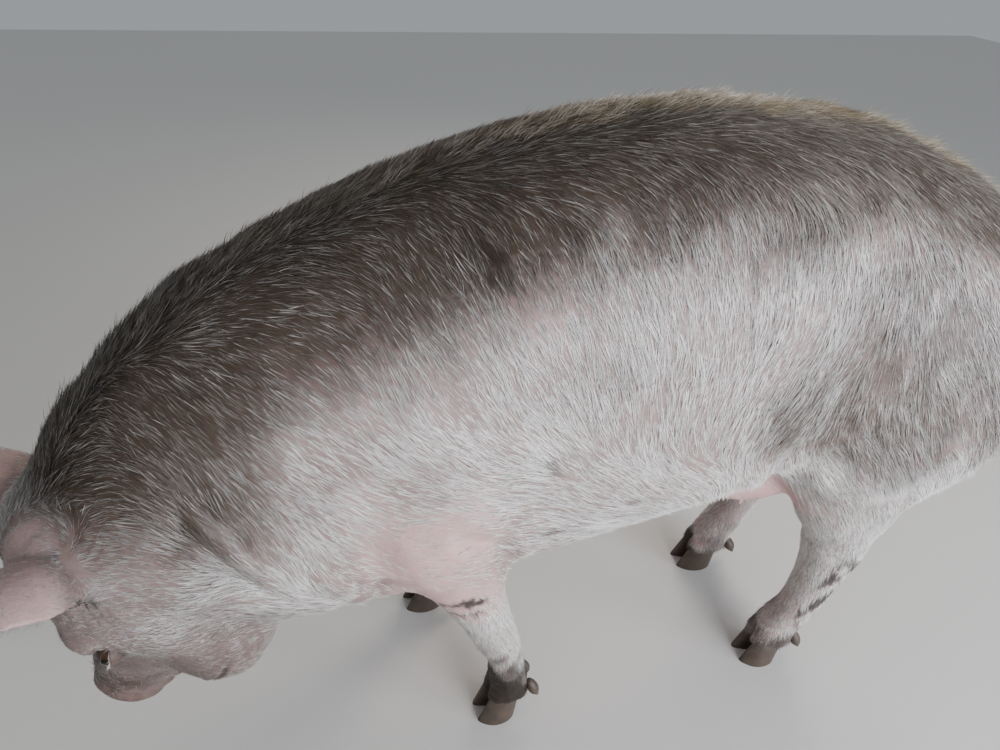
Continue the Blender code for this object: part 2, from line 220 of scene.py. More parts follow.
def teat(x, y):
    """A blunt cone hanging from the belly at a place on the straight body."""
    y *= 1.0 + 0.38 * float(rise(0.0, 0.08, x))
    foot = Vector(to_frame((x, y, 0.1))[0])
    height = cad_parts["trunk"].ray_cast(foot, Vector((0, 0, 1)))[1].z
    off = ((x - UDDER[0]) / UDDER_RADII[0]) ** 2 + ((abs(y) - UDDER[1]) / UDDER_RADII[1]) ** 2
    if off < 1.0:
        height = min(height, UDDER[2] - UDDER_RADII[2] * math.sqrt(1.0 - off))
    teat_places.append((x, y, height))
    bm = bmesh.new()
    bmesh.ops.create_cone(bm, cap_ends=True, segments=16, radius1=TEAT_WIDTH * 0.46,
                          radius2=TEAT_WIDTH * 0.80, depth=TEAT_LENGTH * 1.6)
    bmesh.ops.translate(bm, vec=(foot.x, foot.y, height - TEAT_LENGTH * 0.2), verts=bm.verts)
    return bm


def new_object(name, data):
    made = bpy.data.objects.new(name, data)
    bpy.context.scene.collection.objects.link(made)
    return made


def smooth_object(name, bm):
    """Turns a bmesh into an object with smooth shading."""
    mesh = bpy.data.meshes.new(name)
    bm.to_mesh(mesh)
    bm.free()
    mesh.shade_smooth()
    return new_object(name, mesh)


def finish_modifiers(obj):
    """Keeps an object's evaluated mesh as its own and drops its modifiers."""
    graph = bpy.context.evaluated_depsgraph_get()
    mesh = bpy.data.meshes.new_from_object(obj.evaluated_get(graph))
    old = obj.data
    obj.modifiers.clear()
    obj.data = mesh
    bpy.data.meshes.remove(old)


forms = bmesh.new()
for side in (-1.0, 1.0):
    add_bmesh(forms, shaped_ball(32, udder_half, side))
for i in range(TEATS):
    for side in (-1.0, 1.0):
        add_bmesh(forms, teat(TEAT_FIRST + i * TEAT_STEP, side * TEAT_ROW))
for solid in FLESH + ["eye_left", "eye_right"]:
    add_bmesh(forms, grown_node(solid))
for name in EARS:
    add_bmesh(forms, ear_leaf(name))
skin = smooth_object("skin", forms)

remesh = skin.modifiers.new("one_hide", "REMESH")
remesh.mode = "VOXEL"
remesh.voxel_size = SKIN_VOXEL
finish_modifiers(skin)


def coordinates(mesh, wanted="co"):
    """The points of a mesh, or with "normal" the ways out of the surface there."""
    values = np.empty(len(mesh.vertices) * 3)
    mesh.vertices.foreach_get(wanted, values)
    return values.reshape(-1, 3)


def set_coordinates(mesh, values):
    mesh.vertices.foreach_set("co", values.astype(np.float32).ravel())
    mesh.update()


def ear_share(points, name):
    """How far each point lies along an ear, and how far it is off the ear's line."""
    root, along = (np.array(v) for v in ear_axes(name)[:2])
    offset = points - root
    share = offset @ along / EAR_LENGTH
    off = np.linalg.norm(offset - np.outer(offset @ along, along), axis=1)
    return share, off


def ear_weight(points):
    """1 on the leaves of the ears, falling to 0 at their roots."""
    weight = np.zeros(len(points))
    for name in EARS:
        share, off = ear_share(points, name)
        weight = np.maximum(weight, rise(0.0, 0.22, share) * rise(0.100, 0.080, off))
    return weight


def head_weight(points):
    """0 on the neck and 1 on the head, by the plane behind cheeks and ears."""
    ahead = (points[:, 0] + 0.650) * -0.62 + (points[:, 2] - 0.425) * -0.78
    return rise(-0.03, 0.03, ahead)


def tail_weight(points):
    return rise(0.596, 0.610, points[:, 0]) * rise(0.66, 0.64, points[:, 2])


def leg_weight(points):
    """1 on the free part of the legs, below elbow and stifle."""
    x, y, z = points.T
    fore = rise(0.36, 0.30, z) * (x < -0.12) * (x > -0.50) * rise(0.035, 0.060, abs(y))
    fore = fore * rise(-0.44, -0.40, x)
    hind = rise(0.38, 0.32, z) * rise(0.17, 0.20, x + 0.25 * rise(0.30, 0.20, z))
    return np.maximum(fore * rise(0.30, 0.27, z + 0.1 * rise(-0.2, -0.15, x)), hind)


def snout_weight(points):
    return rise(0.30, 0.22, points[:, 2]) * rise(-0.55, -0.60, points[:, 0])


at = to_straight(coordinates(skin.data))
softness = 1.0 - 0.65 * leg_weight(at) - 0.55 * snout_weight(at)
softness = softness * (1.0 - 0.93 * ear_weight(at)) * (1.0 - 0.85 * tail_weight(at))
softness *= 0.25 + 0.75 * rise(0.045, 0.085, at[:, 2])
for place in teat_places:
    off = np.hypot(at[:, 0] - place[0], at[:, 1] - place[1])
    softness *= 1.0 - 0.9 * rise(0.014, 0.009, off) * (at[:, 2] < place[2] + 0.01)
group = skin.vertex_groups.new(name="soften")
LEVELS = 20
levels = np.round(np.clip(softness, 0.0, 1.0) * LEVELS).astype(int)
for level in range(1, LEVELS + 1):
    members = np.nonzero(levels == level)[0].tolist()
    if members:
        group.add(members, level / LEVELS, "REPLACE")
soften = skin.modifiers.new("soften", "SMOOTH")
soften.factor = 0.5
soften.iterations = SOFTEN_ROUNDS
soften.vertex_group = "soften"
finish_modifiers(skin)

# the rims of the ears are laid back on the smooth leaf that they were made from
snapped = coordinates(skin.data)
for name in EARS:
    leaf = ear_leaf(name)
    bmesh.ops.subdivide_edges(leaf, edges=leaf.edges, cuts=1, use_grid_fill=True)
    bmesh.ops.smooth_vert(leaf, verts=leaf.verts, factor=0.5, use_axis_x=True,
                          use_axis_y=True, use_axis_z=True)
    leaf.normal_update()
    tree = BVHTree.FromBMesh(leaf)
    share, off = ear_share(to_straight(snapped), name)
    hold = rise(0.10, 0.30, share) * rise(0.100, 0.080, off)
    for i in np.nonzero(hold > 0.0)[0]:
        found = tree.find_nearest(snapped[i])
        snapped[i] += (np.array(found[0]) - snapped[i]) * hold[i]
    leaf.free()
set_coordinates(skin.data, snapped)

# ---- skin: folds, lids, snout and mouth ----------------------------------------------
# Fat skin folds where it bends: behind the jowl, at elbow, flank and hock, and over the
# snout. The snout ends in a gristle disc with two nostrils, and the small eyes lie deep
# between thick lids. All of it is in the one hide.
SNOUT_MIDDLE = np.array((-0.720, 0.0565, 0.126))     # middle of the disc
SNOUT_AHEAD = np.array((-0.39, 0.0, -0.92))          # the way the disc faces
SNOUT_UP = np.array((-0.92, 0.0, 0.39))              # across the disc, to the face
HEAD_SWING, SWING_HEIGHT = 0.18, 0.44
EYE_RADIUS = 0.0125
EYE_OUT = {"left": (-0.58, -0.80, -0.06), "right": (-0.58, 0.80, -0.06)}
EYE_DEPTH = 0.0045                                   # how far the ball is set back
LID_THICKNESS = 0.0016
SLIT_HALF_LENGTH = 0.0125
UPPER_LID, LOWER_LID = 0.0050, 0.0046                # how far each lid opens
WAVES = 24                                           # summed in the smooth noise
LINE_STEPS = 6                                       # between two points of a curve
BETWEEN_LEGS = 0.03                                  # half the gap left and right
REFINE_MUZZLE = 0.205                                # finer mesh below this height
REFINE_EYE = 0.028                                   # and this near to an eye


def refine(obj, chosen):
    """Splits the edges between chosen vertices in two."""
    bm = bmesh.new()
    bm.from_mesh(obj.data)
    bm.verts.ensure_lookup_table()
    edges = [e for e in bm.edges if chosen[e.verts[0].index] and chosen[e.verts[1].index]]
    bmesh.ops.subdivide_edges(bm, edges=edges, cuts=1, use_grid_fill=True)
    bm.to_mesh(obj.data)
    bm.free()
    obj.data.update()


def distance(points, place):
    return np.linalg.norm(points - np.asarray(place), axis=1)


if fine:
    at = to_straight(coordinates(skin.data))
    refine(skin, (at[:, 2] < REFINE_MUZZLE) & (at[:, 0] < -0.60))
    for reach in (REFINE_EYE, REFINE_EYE - 0.006):
        surface = coordinates(skin.data)
        off = [distance(surface, middle_of("eye_" + name)) for name in EARS]
        refine(skin, np.minimum(*off) < reach)


def hump(value, width):
    """1 where value is 0, falling softly to 0 on both sides of it."""
    return np.exp(-(value / width) ** 2)


def waves(points, size, seed):
    """Smooth noise of spread 1, with swells about size across."""
    picker = np.random.default_rng(seed)
    ways = unit(picker.normal(size=(WAVES, 3))) * picker.uniform(0.6, 1.5, (WAVES, 1))
    phases = picker.uniform(0.0, 2.0 * math.pi, WAVES)
    return np.cos(points @ ways.T * (math.pi / size) + phases).sum(1) * math.sqrt(2.0 / WAVES)


surface = coordinates(skin.data)
outward = coordinates(skin.data, "normal")
at = to_straight(surface)
wander = np.stack([waves(at, 0.055, 11), waves(at, 0.055, 12), waves(at, 0.055, 13)], 1)
fullness = 1.0 + 0.28 * waves(at, 0.035, 14)
swung = at - np.outer(np.maximum(SWING_HEIGHT - at[:, 2], 0.0) * HEAD_SWING, (0, 1, 0))
push = np.zeros(len(at))


def smooth_line(points):
    """A Catmull-Rom curve through points."""
    rows = np.array(points, dtype=float)
    ends = np.vstack([2 * rows[0] - rows[1], rows, 2 * rows[-1] - rows[-2]])
    out = []
    for i in range(len(rows) - 1):
        before, start, end, after = ends[i:i + 4]
        for t in np.arange(LINE_STEPS) / LINE_STEPS:
            out.append(0.5 * (2 * start + (end - before) * t
                              + (2 * before - 5 * start + 4 * end - after) * t ** 2
                              + (3 * start - before - 3 * end + after) * t ** 3))
    out.append(rows[-1])
    return np.array(out)


def near_line(points, line):
    """Distance to a line, the offset from it, and the share of the line passed."""
    best = np.full(len(points), 1e9)
    offset = np.zeros_like(points)
    share = np.zeros(len(points))
    runs = np.linalg.norm(np.diff(line, axis=0), axis=1)
    passed = 0.0
    for start, end, run in zip(line[:-1], line[1:], runs):
        t = np.clip((points - start) @ (end - start) / run ** 2, 0.0, 1.0)
        off = points - (start + t[:, None] * (end - start))
        far = np.linalg.norm(off, axis=1)
        closer = far < best
        best[closer] = far[closer]
        offset[closer] = off[closer]
        share[closer] = (passed + t[closer] * run) / runs.sum()
        passed += run
    return best, offset, share


def crease(points, width, depth, sides=(-1.0, 1.0), lip=0.35, over=None):
    """A fold along a line seen from the side, with a soft lip on each edge of it.

    over is a direction in that view: the skin on that side rolls over the fold."""
    line = smooth_line(points)
    low, high = line.min(0) - 4 * width, line.max(0) + 4 * width
    bent = swung + wander * (0.30 * width)
    inside = ((swung[:, 0] > low[0]) & (swung[:, 0] < high[0])
              & (swung[:, 2] > low[1]) & (swung[:, 2] < high[1]))
    for side in sides:
        chosen = np.nonzero(inside & (swung[:, 1] * side > 0.01))[0]
        far, offset, share = near_line(bent[chosen][:, (0, 2)], line)
        fade = rise(-0.02, 0.18, share) * rise(1.02, 0.82, share)
        dip = -hump(far, width)
        roll = lip * hump(far - 2.0 * width, 1.1 * width)
        if over is not None:
            roll = roll * np.where(offset @ np.array(over) > 0, 2.2, 0.2)
        push[chosen] += depth * (dip + roll) * fade * fullness[chosen]


def ring_fold(height, slope, width, depth, x_low, x_high):
    """A fold round a leg, level where slope is 0."""
    x, y, z = at.T
    lift = z - height - slope * (x - (x_low + x_high) / 2)
    inside = (x > x_low) & (x < x_high) & (abs(y) > BETWEEN_LEGS) & (abs(lift) < 6 * width)
    push[inside] -= depth * hump(lift[inside], width)


def swell(place, radii, height, sides=(-1.0, 1.0)):
    """A soft rise, or a hollow where height is below 0."""
    for side in sides:
        middle = np.array(place) * (1.0, side, 1.0)
        away = (((swung - middle) / np.array(radii)) ** 2).sum(1)
        chosen = away < 9.0
        push[chosen] += height * np.exp(-away[chosen])


# the coat's depth, deepest on the body
snout_part = snout_weight(at)
ear_part = ear_weight(at)
leg_part = leg_weight(at)
tail_part = tail_weight(at)
head_part = head_weight(at)
depth = blend(0.0048, 0.0024, head_part)
depth = depth * (1.0 - 0.55 * leg_part) * (1.0 - 0.85 * snout_part)
depth = depth * (1.0 - ear_part) * (1.0 - 0.7 * tail_part)
push -= depth * rise(0.040, 0.070, at[:, 2])

# muscle and fat under the skin
body_part = (1.0 - head_part) * (1.0 - leg_part) * (1.0 - ear_part) * (1.0 - tail_part)
push += body_part * (0.0016 * waves(at, 0.11, 17) + 0.0007 * waves(at, 0.045, 18))
push += head_part * (1.0 - ear_part) * 0.0005 * waves(at, 0.022, 19)
swell((-0.40, 0.17, 0.60), (0.055, 0.08, 0.10), 0.006)
swell((-0.235, 0.22, 0.56), (0.040, 0.08, 0.12), -0.006)
swell((0.16, 0.22, 0.61), (0.045, 0.08, 0.10), -0.009)
swell((0.36, 0.21, 0.56), (0.070, 0.08, 0.08), 0.005)
swell((0.245, 0.13, 0.370), (0.035, 0.07, 0.07), 0.010)
swell((0.262, 0.12, 0.250), (0.020, 0.05, 0.06), 0.005)
swell((-0.655, 0.12, 0.40), (0.035, 0.05, 0.035), 0.004)
swell((-0.700, 0.09, 0.285), (0.020, 0.03, 0.030), -0.003)

# neck, jowl and throat
crease([(-0.655, 0.525), (-0.640, 0.505), (-0.611, 0.475), (-0.591, 0.439), (-0.560, 0.402),
        (-0.528, 0.372)], 0.012, 0.0036, lip=0.40, over=(0.7, 0.7))
crease([(-0.530, 0.425), (-0.518, 0.398), (-0.507, 0.365), (-0.500, 0.325)],
       0.012, 0.0038, over=(1.0, 0.1))
crease([(-0.622, 0.540), (-0.590, 0.515), (-0.566, 0.478)], 0.010, 0.0030)
crease([(-0.470, 0.345), (-0.474, 0.310), (-0.480, 0.275)], 0.010, 0.0040)
crease([(-0.575, 0.445), (-0.548, 0.428), (-0.530, 0.405)], 0.007, 0.0025)
crease([(-0.560, 0.480), (-0.535, 0.455), (-0.510, 0.420)], 0.010, 0.0030, sides=(1.0,))
crease([(-0.600, 0.560), (-0.560, 0.520), (-0.530, 0.470)], 0.012, 0.0040, sides=(1.0,))
swell((-0.556, 0.146, 0.356), (0.008, 0.010, 0.008), 0.0055)

# elbow, shoulder, flank, thigh
crease([(-0.262, 0.352), (-0.268, 0.388), (-0.292, 0.425), (-0.326, 0.452), (-0.362, 0.468)],
       0.012, 0.0070, over=(0.5, 0.85))
crease([(-0.286, 0.372), (-0.300, 0.398), (-0.330, 0.420)], 0.007, 0.0030)
crease([(-0.412, 0.320), (-0.424, 0.355), (-0.430, 0.405)], 0.013, 0.0050)
crease([(0.165, 0.390), (0.135, 0.425), (0.118, 0.465), (0.128, 0.505), (0.150, 0.540)],
       0.018, 0.0050, over=(-0.9, 0.1))
crease([(0.185, 0.400), (0.168, 0.435), (0.166, 0.470)], 0.012, 0.0020)
crease([(0.400, 0.440), (0.425, 0.480), (0.440, 0.530)], 0.018, 0.0040)
crease([(0.165, 0.425), (0.205, 0.436), (0.244, 0.449), (0.310, 0.477), (0.370, 0.508)],
       0.020, -0.0080, lip=0.0)

# hocks, knees and pasterns
for step in range(3):
    crease([(0.240, 0.296 + 0.012 * step), (0.280, 0.266 + 0.012 * step),
            (0.326, 0.252 + 0.013 * step)], 0.0050, 0.0015 - 0.0002 * step, lip=0.0)
    ring_fold(0.172 + 0.011 * step, 0.15, 0.0028, 0.0012, -0.36, -0.12)
for height, slope in ((0.092, 0.5), (0.080, 0.35), (0.053, 0.1)):
    ring_fold(height, slope, 0.0026, 0.0014, -0.36, -0.12)
    ring_fold(height, slope, 0.0026, 0.0014, 0.12, 0.36)
swell((0.340, 0.120, 0.262), (0.014, 0.03, 0.016), 0.004)
swell((-0.262, 0.150, 0.355), (0.016, 0.03, 0.020), 0.004)

# under the tail
swell((0.590, 0.0, 0.578), (0.014, 0.012, 0.010), -0.006, sides=(1.0,))
swell((0.585, 0.0, 0.532), (0.016, 0.015, 0.024), 0.010, sides=(1.0,))
slot = (swung[:, 0] > 0.56) * rise(0.565, 0.555, at[:, 2]) * rise(0.505, 0.515, at[:, 2])
push -= 0.005 * slot * hump(at[:, 1], 0.0025)

# a fan of fine wrinkles at the root of each ear, and veins that stand out on the ears
fan_x, fan_z = swung[:, 0] + 0.752, swung[:, 2] - 0.452
far = np.hypot(fan_x, fan_z)
fan = np.cos(np.arctan2(fan_z, fan_x) * 27.0 + 1.5 * waves(at, 0.03, 21))
push += 0.0008 * fan * hump(far - 0.052, 0.018) * (abs(at[:, 1]) > 0.07) * (1.0 - ear_part)
veins = hump(waves(at, 0.020, 22), 0.16) + 0.6 * hump(waves(at, 0.011, 23), 0.16)
push += 0.0007 * veins * ear_part

# the muzzle: mouth line, snout folds, rim of the disc, nostrils
MOUTH = [(-0.684, 0.112), (-0.676, 0.140), (-0.660, 0.176), (-0.643, 0.208), (-0.629, 0.240),
         (-0.619, 0.264), (-0.616, 0.282)]
crease(MOUTH, 0.0030, 0.0062, lip=0.30)
crease([(-0.600, 0.262), (-0.596, 0.290), (-0.604, 0.315)], 0.006, 0.0022)
crease([(-0.585, 0.270), (-0.578, 0.300), (-0.584, 0.325)], 0.006, 0.0016)
from_disc = swung - (SNOUT_MIDDLE - (0.0, 0.0565, 0.0))
behind = -(from_disc @ SNOUT_AHEAD)
up = from_disc @ SNOUT_UP
over_face = rise(0.0, 0.025, up) * (at[:, 2] < 0.32) * (at[:, 0] < -0.60)
for place, deep in ((0.021, 0.0016), (0.031, 0.0020), (0.042, 0.0022), (0.055, 0.0020),
                    (0.070, 0.0016), (0.088, 0.0012)):
    bow = behind - place - 4.0 * swung[:, 1] ** 2 + 0.0022 * waves(at, 0.030, 15)
    broken = over_face * np.clip(1.0 + 0.5 * waves(at + place, 0.022, 16), 0.2, 1.6)
    push -= deep * hump(bow, 0.0036) * broken
    push += 0.5 * deep * hump(bow - 0.0055, 0.0045) * broken
radius = np.hypot(swung[:, 1] / 0.047, up / 0.043)
on_muzzle = (at[:, 0] < -0.64) & (at[:, 2] < 0.20)
rim = hump(behind - 0.006, 0.006) * rise(0.72, 0.92, radius) * on_muzzle
push += 0.0042 * rim * rise(-1.1, -0.4, up / 0.043)
push -= 0.0020 * (hump(behind - 0.0165, 0.004) * on_muzzle * rise(-0.02, 0.01, up))
disc = rise(0.016, 0.006, behind) * rise(0.95, 0.75, radius) * on_muzzle
push -= 0.0016 * disc * hump(swung[:, 1], 0.0035)
for side in (-1.0, 1.0):
    across = (swung[:, 1] - side * 0.0175) / 0.0078
    along = (up - 0.002 + 0.25 * abs(swung[:, 1] - side * 0.0175)) / 0.0098
    pit = across ** 2 + along ** 2
    near = disc > 0.05
    push[near] -= 0.015 * np.exp(-pit[near] ** 2)
    push[near] += 0.0022 * hump(np.sqrt(pit[near]) - 1.55, 0.35)

surface = surface + outward * push[:, None]
chin = hump(distance(swung, (-0.668, 0.0, 0.116)), 0.022) * rise(-0.010, -0.028, up)
surface += turned(np.outer(chin, (-0.004, 0.0, 0.009)), at[:, 0])


def eye_axes(name):
    """Directions out of the eye, along its slit towards the ear, and to the brow."""
    middle = middle_of("eye_" + name)
    x = to_straight(middle)[0, 0]
    out = unit(turned(np.array([EYE_OUT[name]]), np.array([x]))[0])
    middle = middle - out * EYE_DEPTH
    along = np.array((0.25, 0.0, 0.97))
    along = unit(along - out * (along @ out))
    brow = np.cross(out, along) * EARS[name]
    return middle, out, along, brow * (-1.0 if brow[0] > 0 else 1.0)


def slit_edge(a, opening):
    """Half the opening of the lids at a distance a along the slit."""
    return opening * np.clip(1.0 - (a / SLIT_HALF_LENGTH) ** 2, 0.0, 1.0) ** 0.8


for name in EARS:
    middle, out, along, brow = eye_axes(name)
    local = surface - middle
    a, b, c = local @ along, local @ brow, local @ out
    reach = np.hypot(a, b * 1.12)
    chosen = (reach < 0.032) & (abs(c) < 0.030)
    lid = (EYE_RADIUS + LID_THICKNESS) ** 2 - np.minimum(reach, 0.0138) ** 2
    lid = np.sqrt(np.maximum(lid, 0.0))
    keep = rise(0.0115, 0.0215, reach)
    height = blend(lid, c, keep)
    oval = np.hypot(a / 1.15, b)
    for place, deep in ((0.0122, 0.0018), (0.0158, 0.0012), (0.0200, 0.0010), (0.0250, 0.0007)):
        height -= deep * hump(oval - place, 0.0015) * rise(0.1, 0.7, abs(b) / (oval + 1e-6))
    height += 0.0032 * np.exp(-((b - 0.021) / 0.007) ** 2 - (a / 0.020) ** 2)
    upper, lower = slit_edge(a, UPPER_LID), slit_edge(a, LOWER_LID)
    inside = np.where(b > 0, upper - b, lower + b)
    margin = hump(inside, 0.0013) * (abs(a) < SLIT_HALF_LENGTH + 0.001)
    height -= 0.0010 * margin * (inside < 0)
    height += 0.0005 * hump(inside + 0.0030, 0.0012) * (reach < 0.014)
    true_reach = np.hypot(a, b)
    ball = np.sqrt(np.maximum(EYE_RADIUS ** 2 - true_reach ** 2, 0.0))
    cover = np.sqrt(np.maximum((EYE_RADIUS + 0.0012) ** 2 - true_reach ** 2, 0.0))
    height = np.where(true_reach < EYE_RADIUS + 0.0011, np.maximum(height, cover), height)
    sunk = rise(-0.0002, 0.0006, inside) * (abs(a) < SLIT_HALF_LENGTH)
    height = blend(height, ball - 0.0026, sunk)
    surface[chosen] += np.outer((height - c)[chosen], out)

# the flesh closes round the claws at the coronet, and parts between them
for leg in LEGS:
    pair = middle_of(leg + "_claw_outer") / 2 + middle_of(leg + "_claw_inner") / 2
    pair = to_straight(pair)[0]
    local = to_straight(surface) - pair
    near = np.hypot(local[:, 0] - 0.01, local[:, 1]) < 0.06
    chosen = np.nonzero(near & (at[:, 2] < 0.085))[0]
    foot = local[chosen]
    z = at[chosen, 2]
    tuck = 1.0 - 0.10 * rise(0.050, 0.037, z) + 0.035 * hump(z - 0.053, 0.007)
    foot[:, :2] *= tuck[:, None]
    part = hump(foot[:, 1], 0.0055) * rise(0.085, 0.045, z)
    ahead = foot[:, 0] - 0.012
    foot[:, 0] -= part * 0.012 * np.sign(ahead) * rise(0.0, 0.02, abs(ahead))
    foot[:, 2] += part * 0.008 * rise(0.052, 0.036, z)
    surface[chosen] = to_frame(foot + pair)
set_coordinates(skin.data, surface)
thin_out = skin.modifiers.new("thin_out", "DECIMATE")
faces = sum(len(p.vertices) - 2 for p in skin.data.polygons)
thin_out.ratio = min(1.0, SKIN_TRIANGLES / faces)
finish_modifiers(skin)
skin.data.shade_smooth()

# ---- markings: bristles and hide ------------------------------------------------------
# A white pig's hide is pink where the coat is thin. Her bristles are white, golden along
# the ridge of the back, and stained with dried earth on back, neck, ham and feet. On back,
# neck and head that earth is made darker with painted shade. Hide and coat take the same
# marks, by place on the straight body.
# the line of the back on the straight body, from the poll to the tail
RIDGE = [(-0.80, 0.50), (-0.745, 0.546), (-0.682, 0.624), (-0.583, 0.701), (-0.47, 0.757),
         (-0.35, 0.800), (-0.18, 0.844), (0.0, 0.866), (0.20, 0.850), (0.365, 0.792),
         (0.468, 0.725), (0.530, 0.677), (0.574, 0.630), (0.588, 0.590)]


def ridge_height(x):
    return np.interp(x, *zip(*RIDGE))


def spot(points, place, radii, wobble=0.0):
    """1 at a place and 0 well away from it, on an oval with a wandering edge."""
    away = (((points - np.array(place)) / np.array(radii)) ** 2).sum(1)
    return rise(1.5, 0.6, np.sqrt(away) + wobble)


# dried splashes: place, radii and depth of colour, on her left side only
SPLASHES = [((-0.280, -0.143, 0.756), (0.011, 0.03, 0.012), 0.9),
            ((-0.268, -0.150, 0.738), (0.009, 0.03, 0.008), 0.5),
            ((-0.231, -0.219, 0.535), (0.010, 0.02, 0.008), 0.8),
            ((-0.222, -0.206, 0.426), (0.008, 0.02, 0.007), 0.9),
            ((-0.112, -0.216, 0.461), (0.010, 0.02, 0.006), 0.7),
            ((-0.330, -0.200, 0.545), (0.006, 0.02, 0.004), 0.5),
            ((0.318, -0.224, 0.528), (0.005, 0.02, 0.022), 0.5),
            ((0.010, -0.205, 0.715), (0.006, 0.02, 0.030), 0.5),
            ((0.040, -0.205, 0.690), (0.006, 0.02, 0.022), 0.45),
            ((-0.150, -0.215, 0.640), (0.012, 0.02, 0.020), 0.3)]


def folded(points):
    """Both sides of her laid on one, with y outwards."""
    return np.abs(points * (0, 1, 0)) + points * (1, 0, 1)


def udder_weight(points):
    return spot(folded(points), UDDER, (0.115, 0.062, 0.056))


def marks_at(points):
    """Earth with painted shade, mud, gold and pink, 0 to 1, for places on the straight body."""
    x, y, z = points.T
    halves = folded(points)
    ragged = waves(points, 0.075, 31)
    small = waves(points, 0.022, 32)
    tiny = waves(points, 0.007, 33)
    streaks = waves(points * (1.6, 1.0, 0.5), 0.010, 34)
    trunk = rise(0.30, 0.34, z)
    head = head_weight(points)
    down = ridge_height(x) - z
    # earth rubbed into the back, widest over withers and neck, fading softly downwards, and
    #     # made darker on the top of the back as painted shade
    reach = np.interp(x, (-0.75, -0.55, -0.35, -0.15, 0.10, 0.35, 0.55),
                      (0.110, 0.120, 0.100, 0.078, 0.064, 0.055, 0.045))
    soft = np.interp(x, (-0.30, 0.10), (1.0, 0.62))
    back = rise(0.095, -0.085, (down + 0.014 * ragged + 0.005 * small - reach) / soft)
    back = back * rise(0.60, 0.52, x) * (0.96 + 0.03 * ragged + 0.03 * streaks)
    # the upper front of the neck is darker, partly earth and partly painted shade
    neck = rise(0.38, 0.56, z) * rise(-0.46, -0.60, x + 0.02 * ragged) * 0.86
    neck = neck * (0.9 + 0.15 * ragged + 0.15 * small)
    ham = np.maximum.reduce([
        deep * spot(halves, place, radii, 0.10 * ragged + 0.05 * small)
        for place, radii, deep in (((0.14, 0.225, 0.58), (0.080, 0.1, 0.080), 0.52),
                                   ((0.28, 0.215, 0.62), (0.140, 0.1, 0.130), 0.48),
                                   ((0.20, 0.220, 0.53), (0.070, 0.1, 0.055), 0.53),
                                   ((0.42, 0.190, 0.58), (0.120, 0.1, 0.120), 0.43))])
    ham = ham * (1.0 + 0.12 * small + 0.12 * streaks) * rise(0.42, 0.50, z)
    low = rise(0.34, 0.27, z) * 0.12 * rise(-0.8, 0.8, ragged + small)
    dust = 0.06 + 0.03 * ragged + 0.02 * small
    body = np.maximum.reduce([back, neck, ham, low * trunk, dust])
    # the head is darker all over and most on the muzzle, partly earth and partly painted shade
    earth_and_shade = np.maximum.reduce([
        blend(body, 0.34 + 0.06 * ragged + 0.04 * small, head),
        0.55 * head * rise(0.185, 0.140, z + 0.006 * ragged),
        0.35 * head * rise(0.43, 0.50, z) * rise(0.06, 0.02, abs(y)),
        head * rise(0.27, 0.17, z + 0.01 * ragged) * (0.46 + 0.06 * small)])
    earth_and_shade = earth_and_shade * (1.0 + 0.06 * streaks + 0.05 * tiny)
    for name in EARS:
        share, off = ear_share(points, name)
        earth_and_shade *= 1.0 - 0.30 * rise(-0.55, -0.15, share) * rise(0.125, 0.085, off)
        earth_and_shade *= 1.0 - 0.75 * rise(0.0, 0.25, share) * rise(0.100, 0.080, off)
        # darker round each eye
        eye = distance(to_frame(points), middle_of("eye_" + name))
        earth_and_shade = np.maximum(earth_and_shade, 0.58 * rise(0.034, 0.012, eye + 0.003 * small))
    earth_and_shade = 1.0 - np.clip(1.0 - earth_and_shade, 0.0, 1.0) ** 2.0
    # wet mud on the feet, and two bars of it above the left knee
    fore = leg_weight(points) * (x < 0.0)
    hind = leg_weight(points) * (x > 0.0)
    line = 0.125 + 0.016 * ragged + 0.012 * small
    mud = fore * rise(line + 0.03, line - 0.02, z)
    line = 0.070 + 0.014 * ragged + 0.010 * small
    mud = np.maximum(mud, hind * rise(line + 0.03, line - 0.02, z) * 0.95)
    rear = hind * rise(-0.012, 0.000, x - 0.300 + 0.25 * (0.25 - z)) * rise(0.27, 0.24, z)
    rear = rear * (0.35 + 0.55 * (y < 0.0))
    mud = np.maximum(mud, rear * rise(0.0, 0.5, small + 0.6 * tiny))
    for height, middle, run in ((0.340, -0.340, 0.046), (0.306, -0.322, 0.024)):
        bar = rise(1.5, 0.7, abs(z - height - 0.003 * small - 0.10 * (x - middle)) / 0.0065
                   + 0.35 * tiny)
        bar = bar * rise(run, run * 0.75, abs(x - middle) + 0.003 * tiny)
        mud = np.maximum(mud, bar * 0.95 * (y < -0.1))
    for place, radii, deep in SPLASHES:
        mud = np.maximum(mud, deep * spot(points, place, radii, 0.35 * tiny + 0.2 * small))
    # gold on the ridge, brightest over loin and rump
    gold = rise(0.030, 0.006, down + 0.004 * small) * rise(0.040, 0.010, abs(y) + 0.006 * small)
    rump = rise(0.40, 0.52, x) * rise(0.05, 0.01, abs(y)) * rise(0.60, 0.66, z)
    gold = np.maximum(gold, 0.6 * rump)
    gold = gold * (0.30 + 0.70 * rise(-0.58, -0.15, x))
    gold = np.maximum(gold, 0.22 * rise(0.10, 0.03, down) * rise(-0.2, 0.2, x))
    earth_and_shade = earth_and_shade * (1.0 - 0.45 * gold * rise(-0.3, 0.2, x))
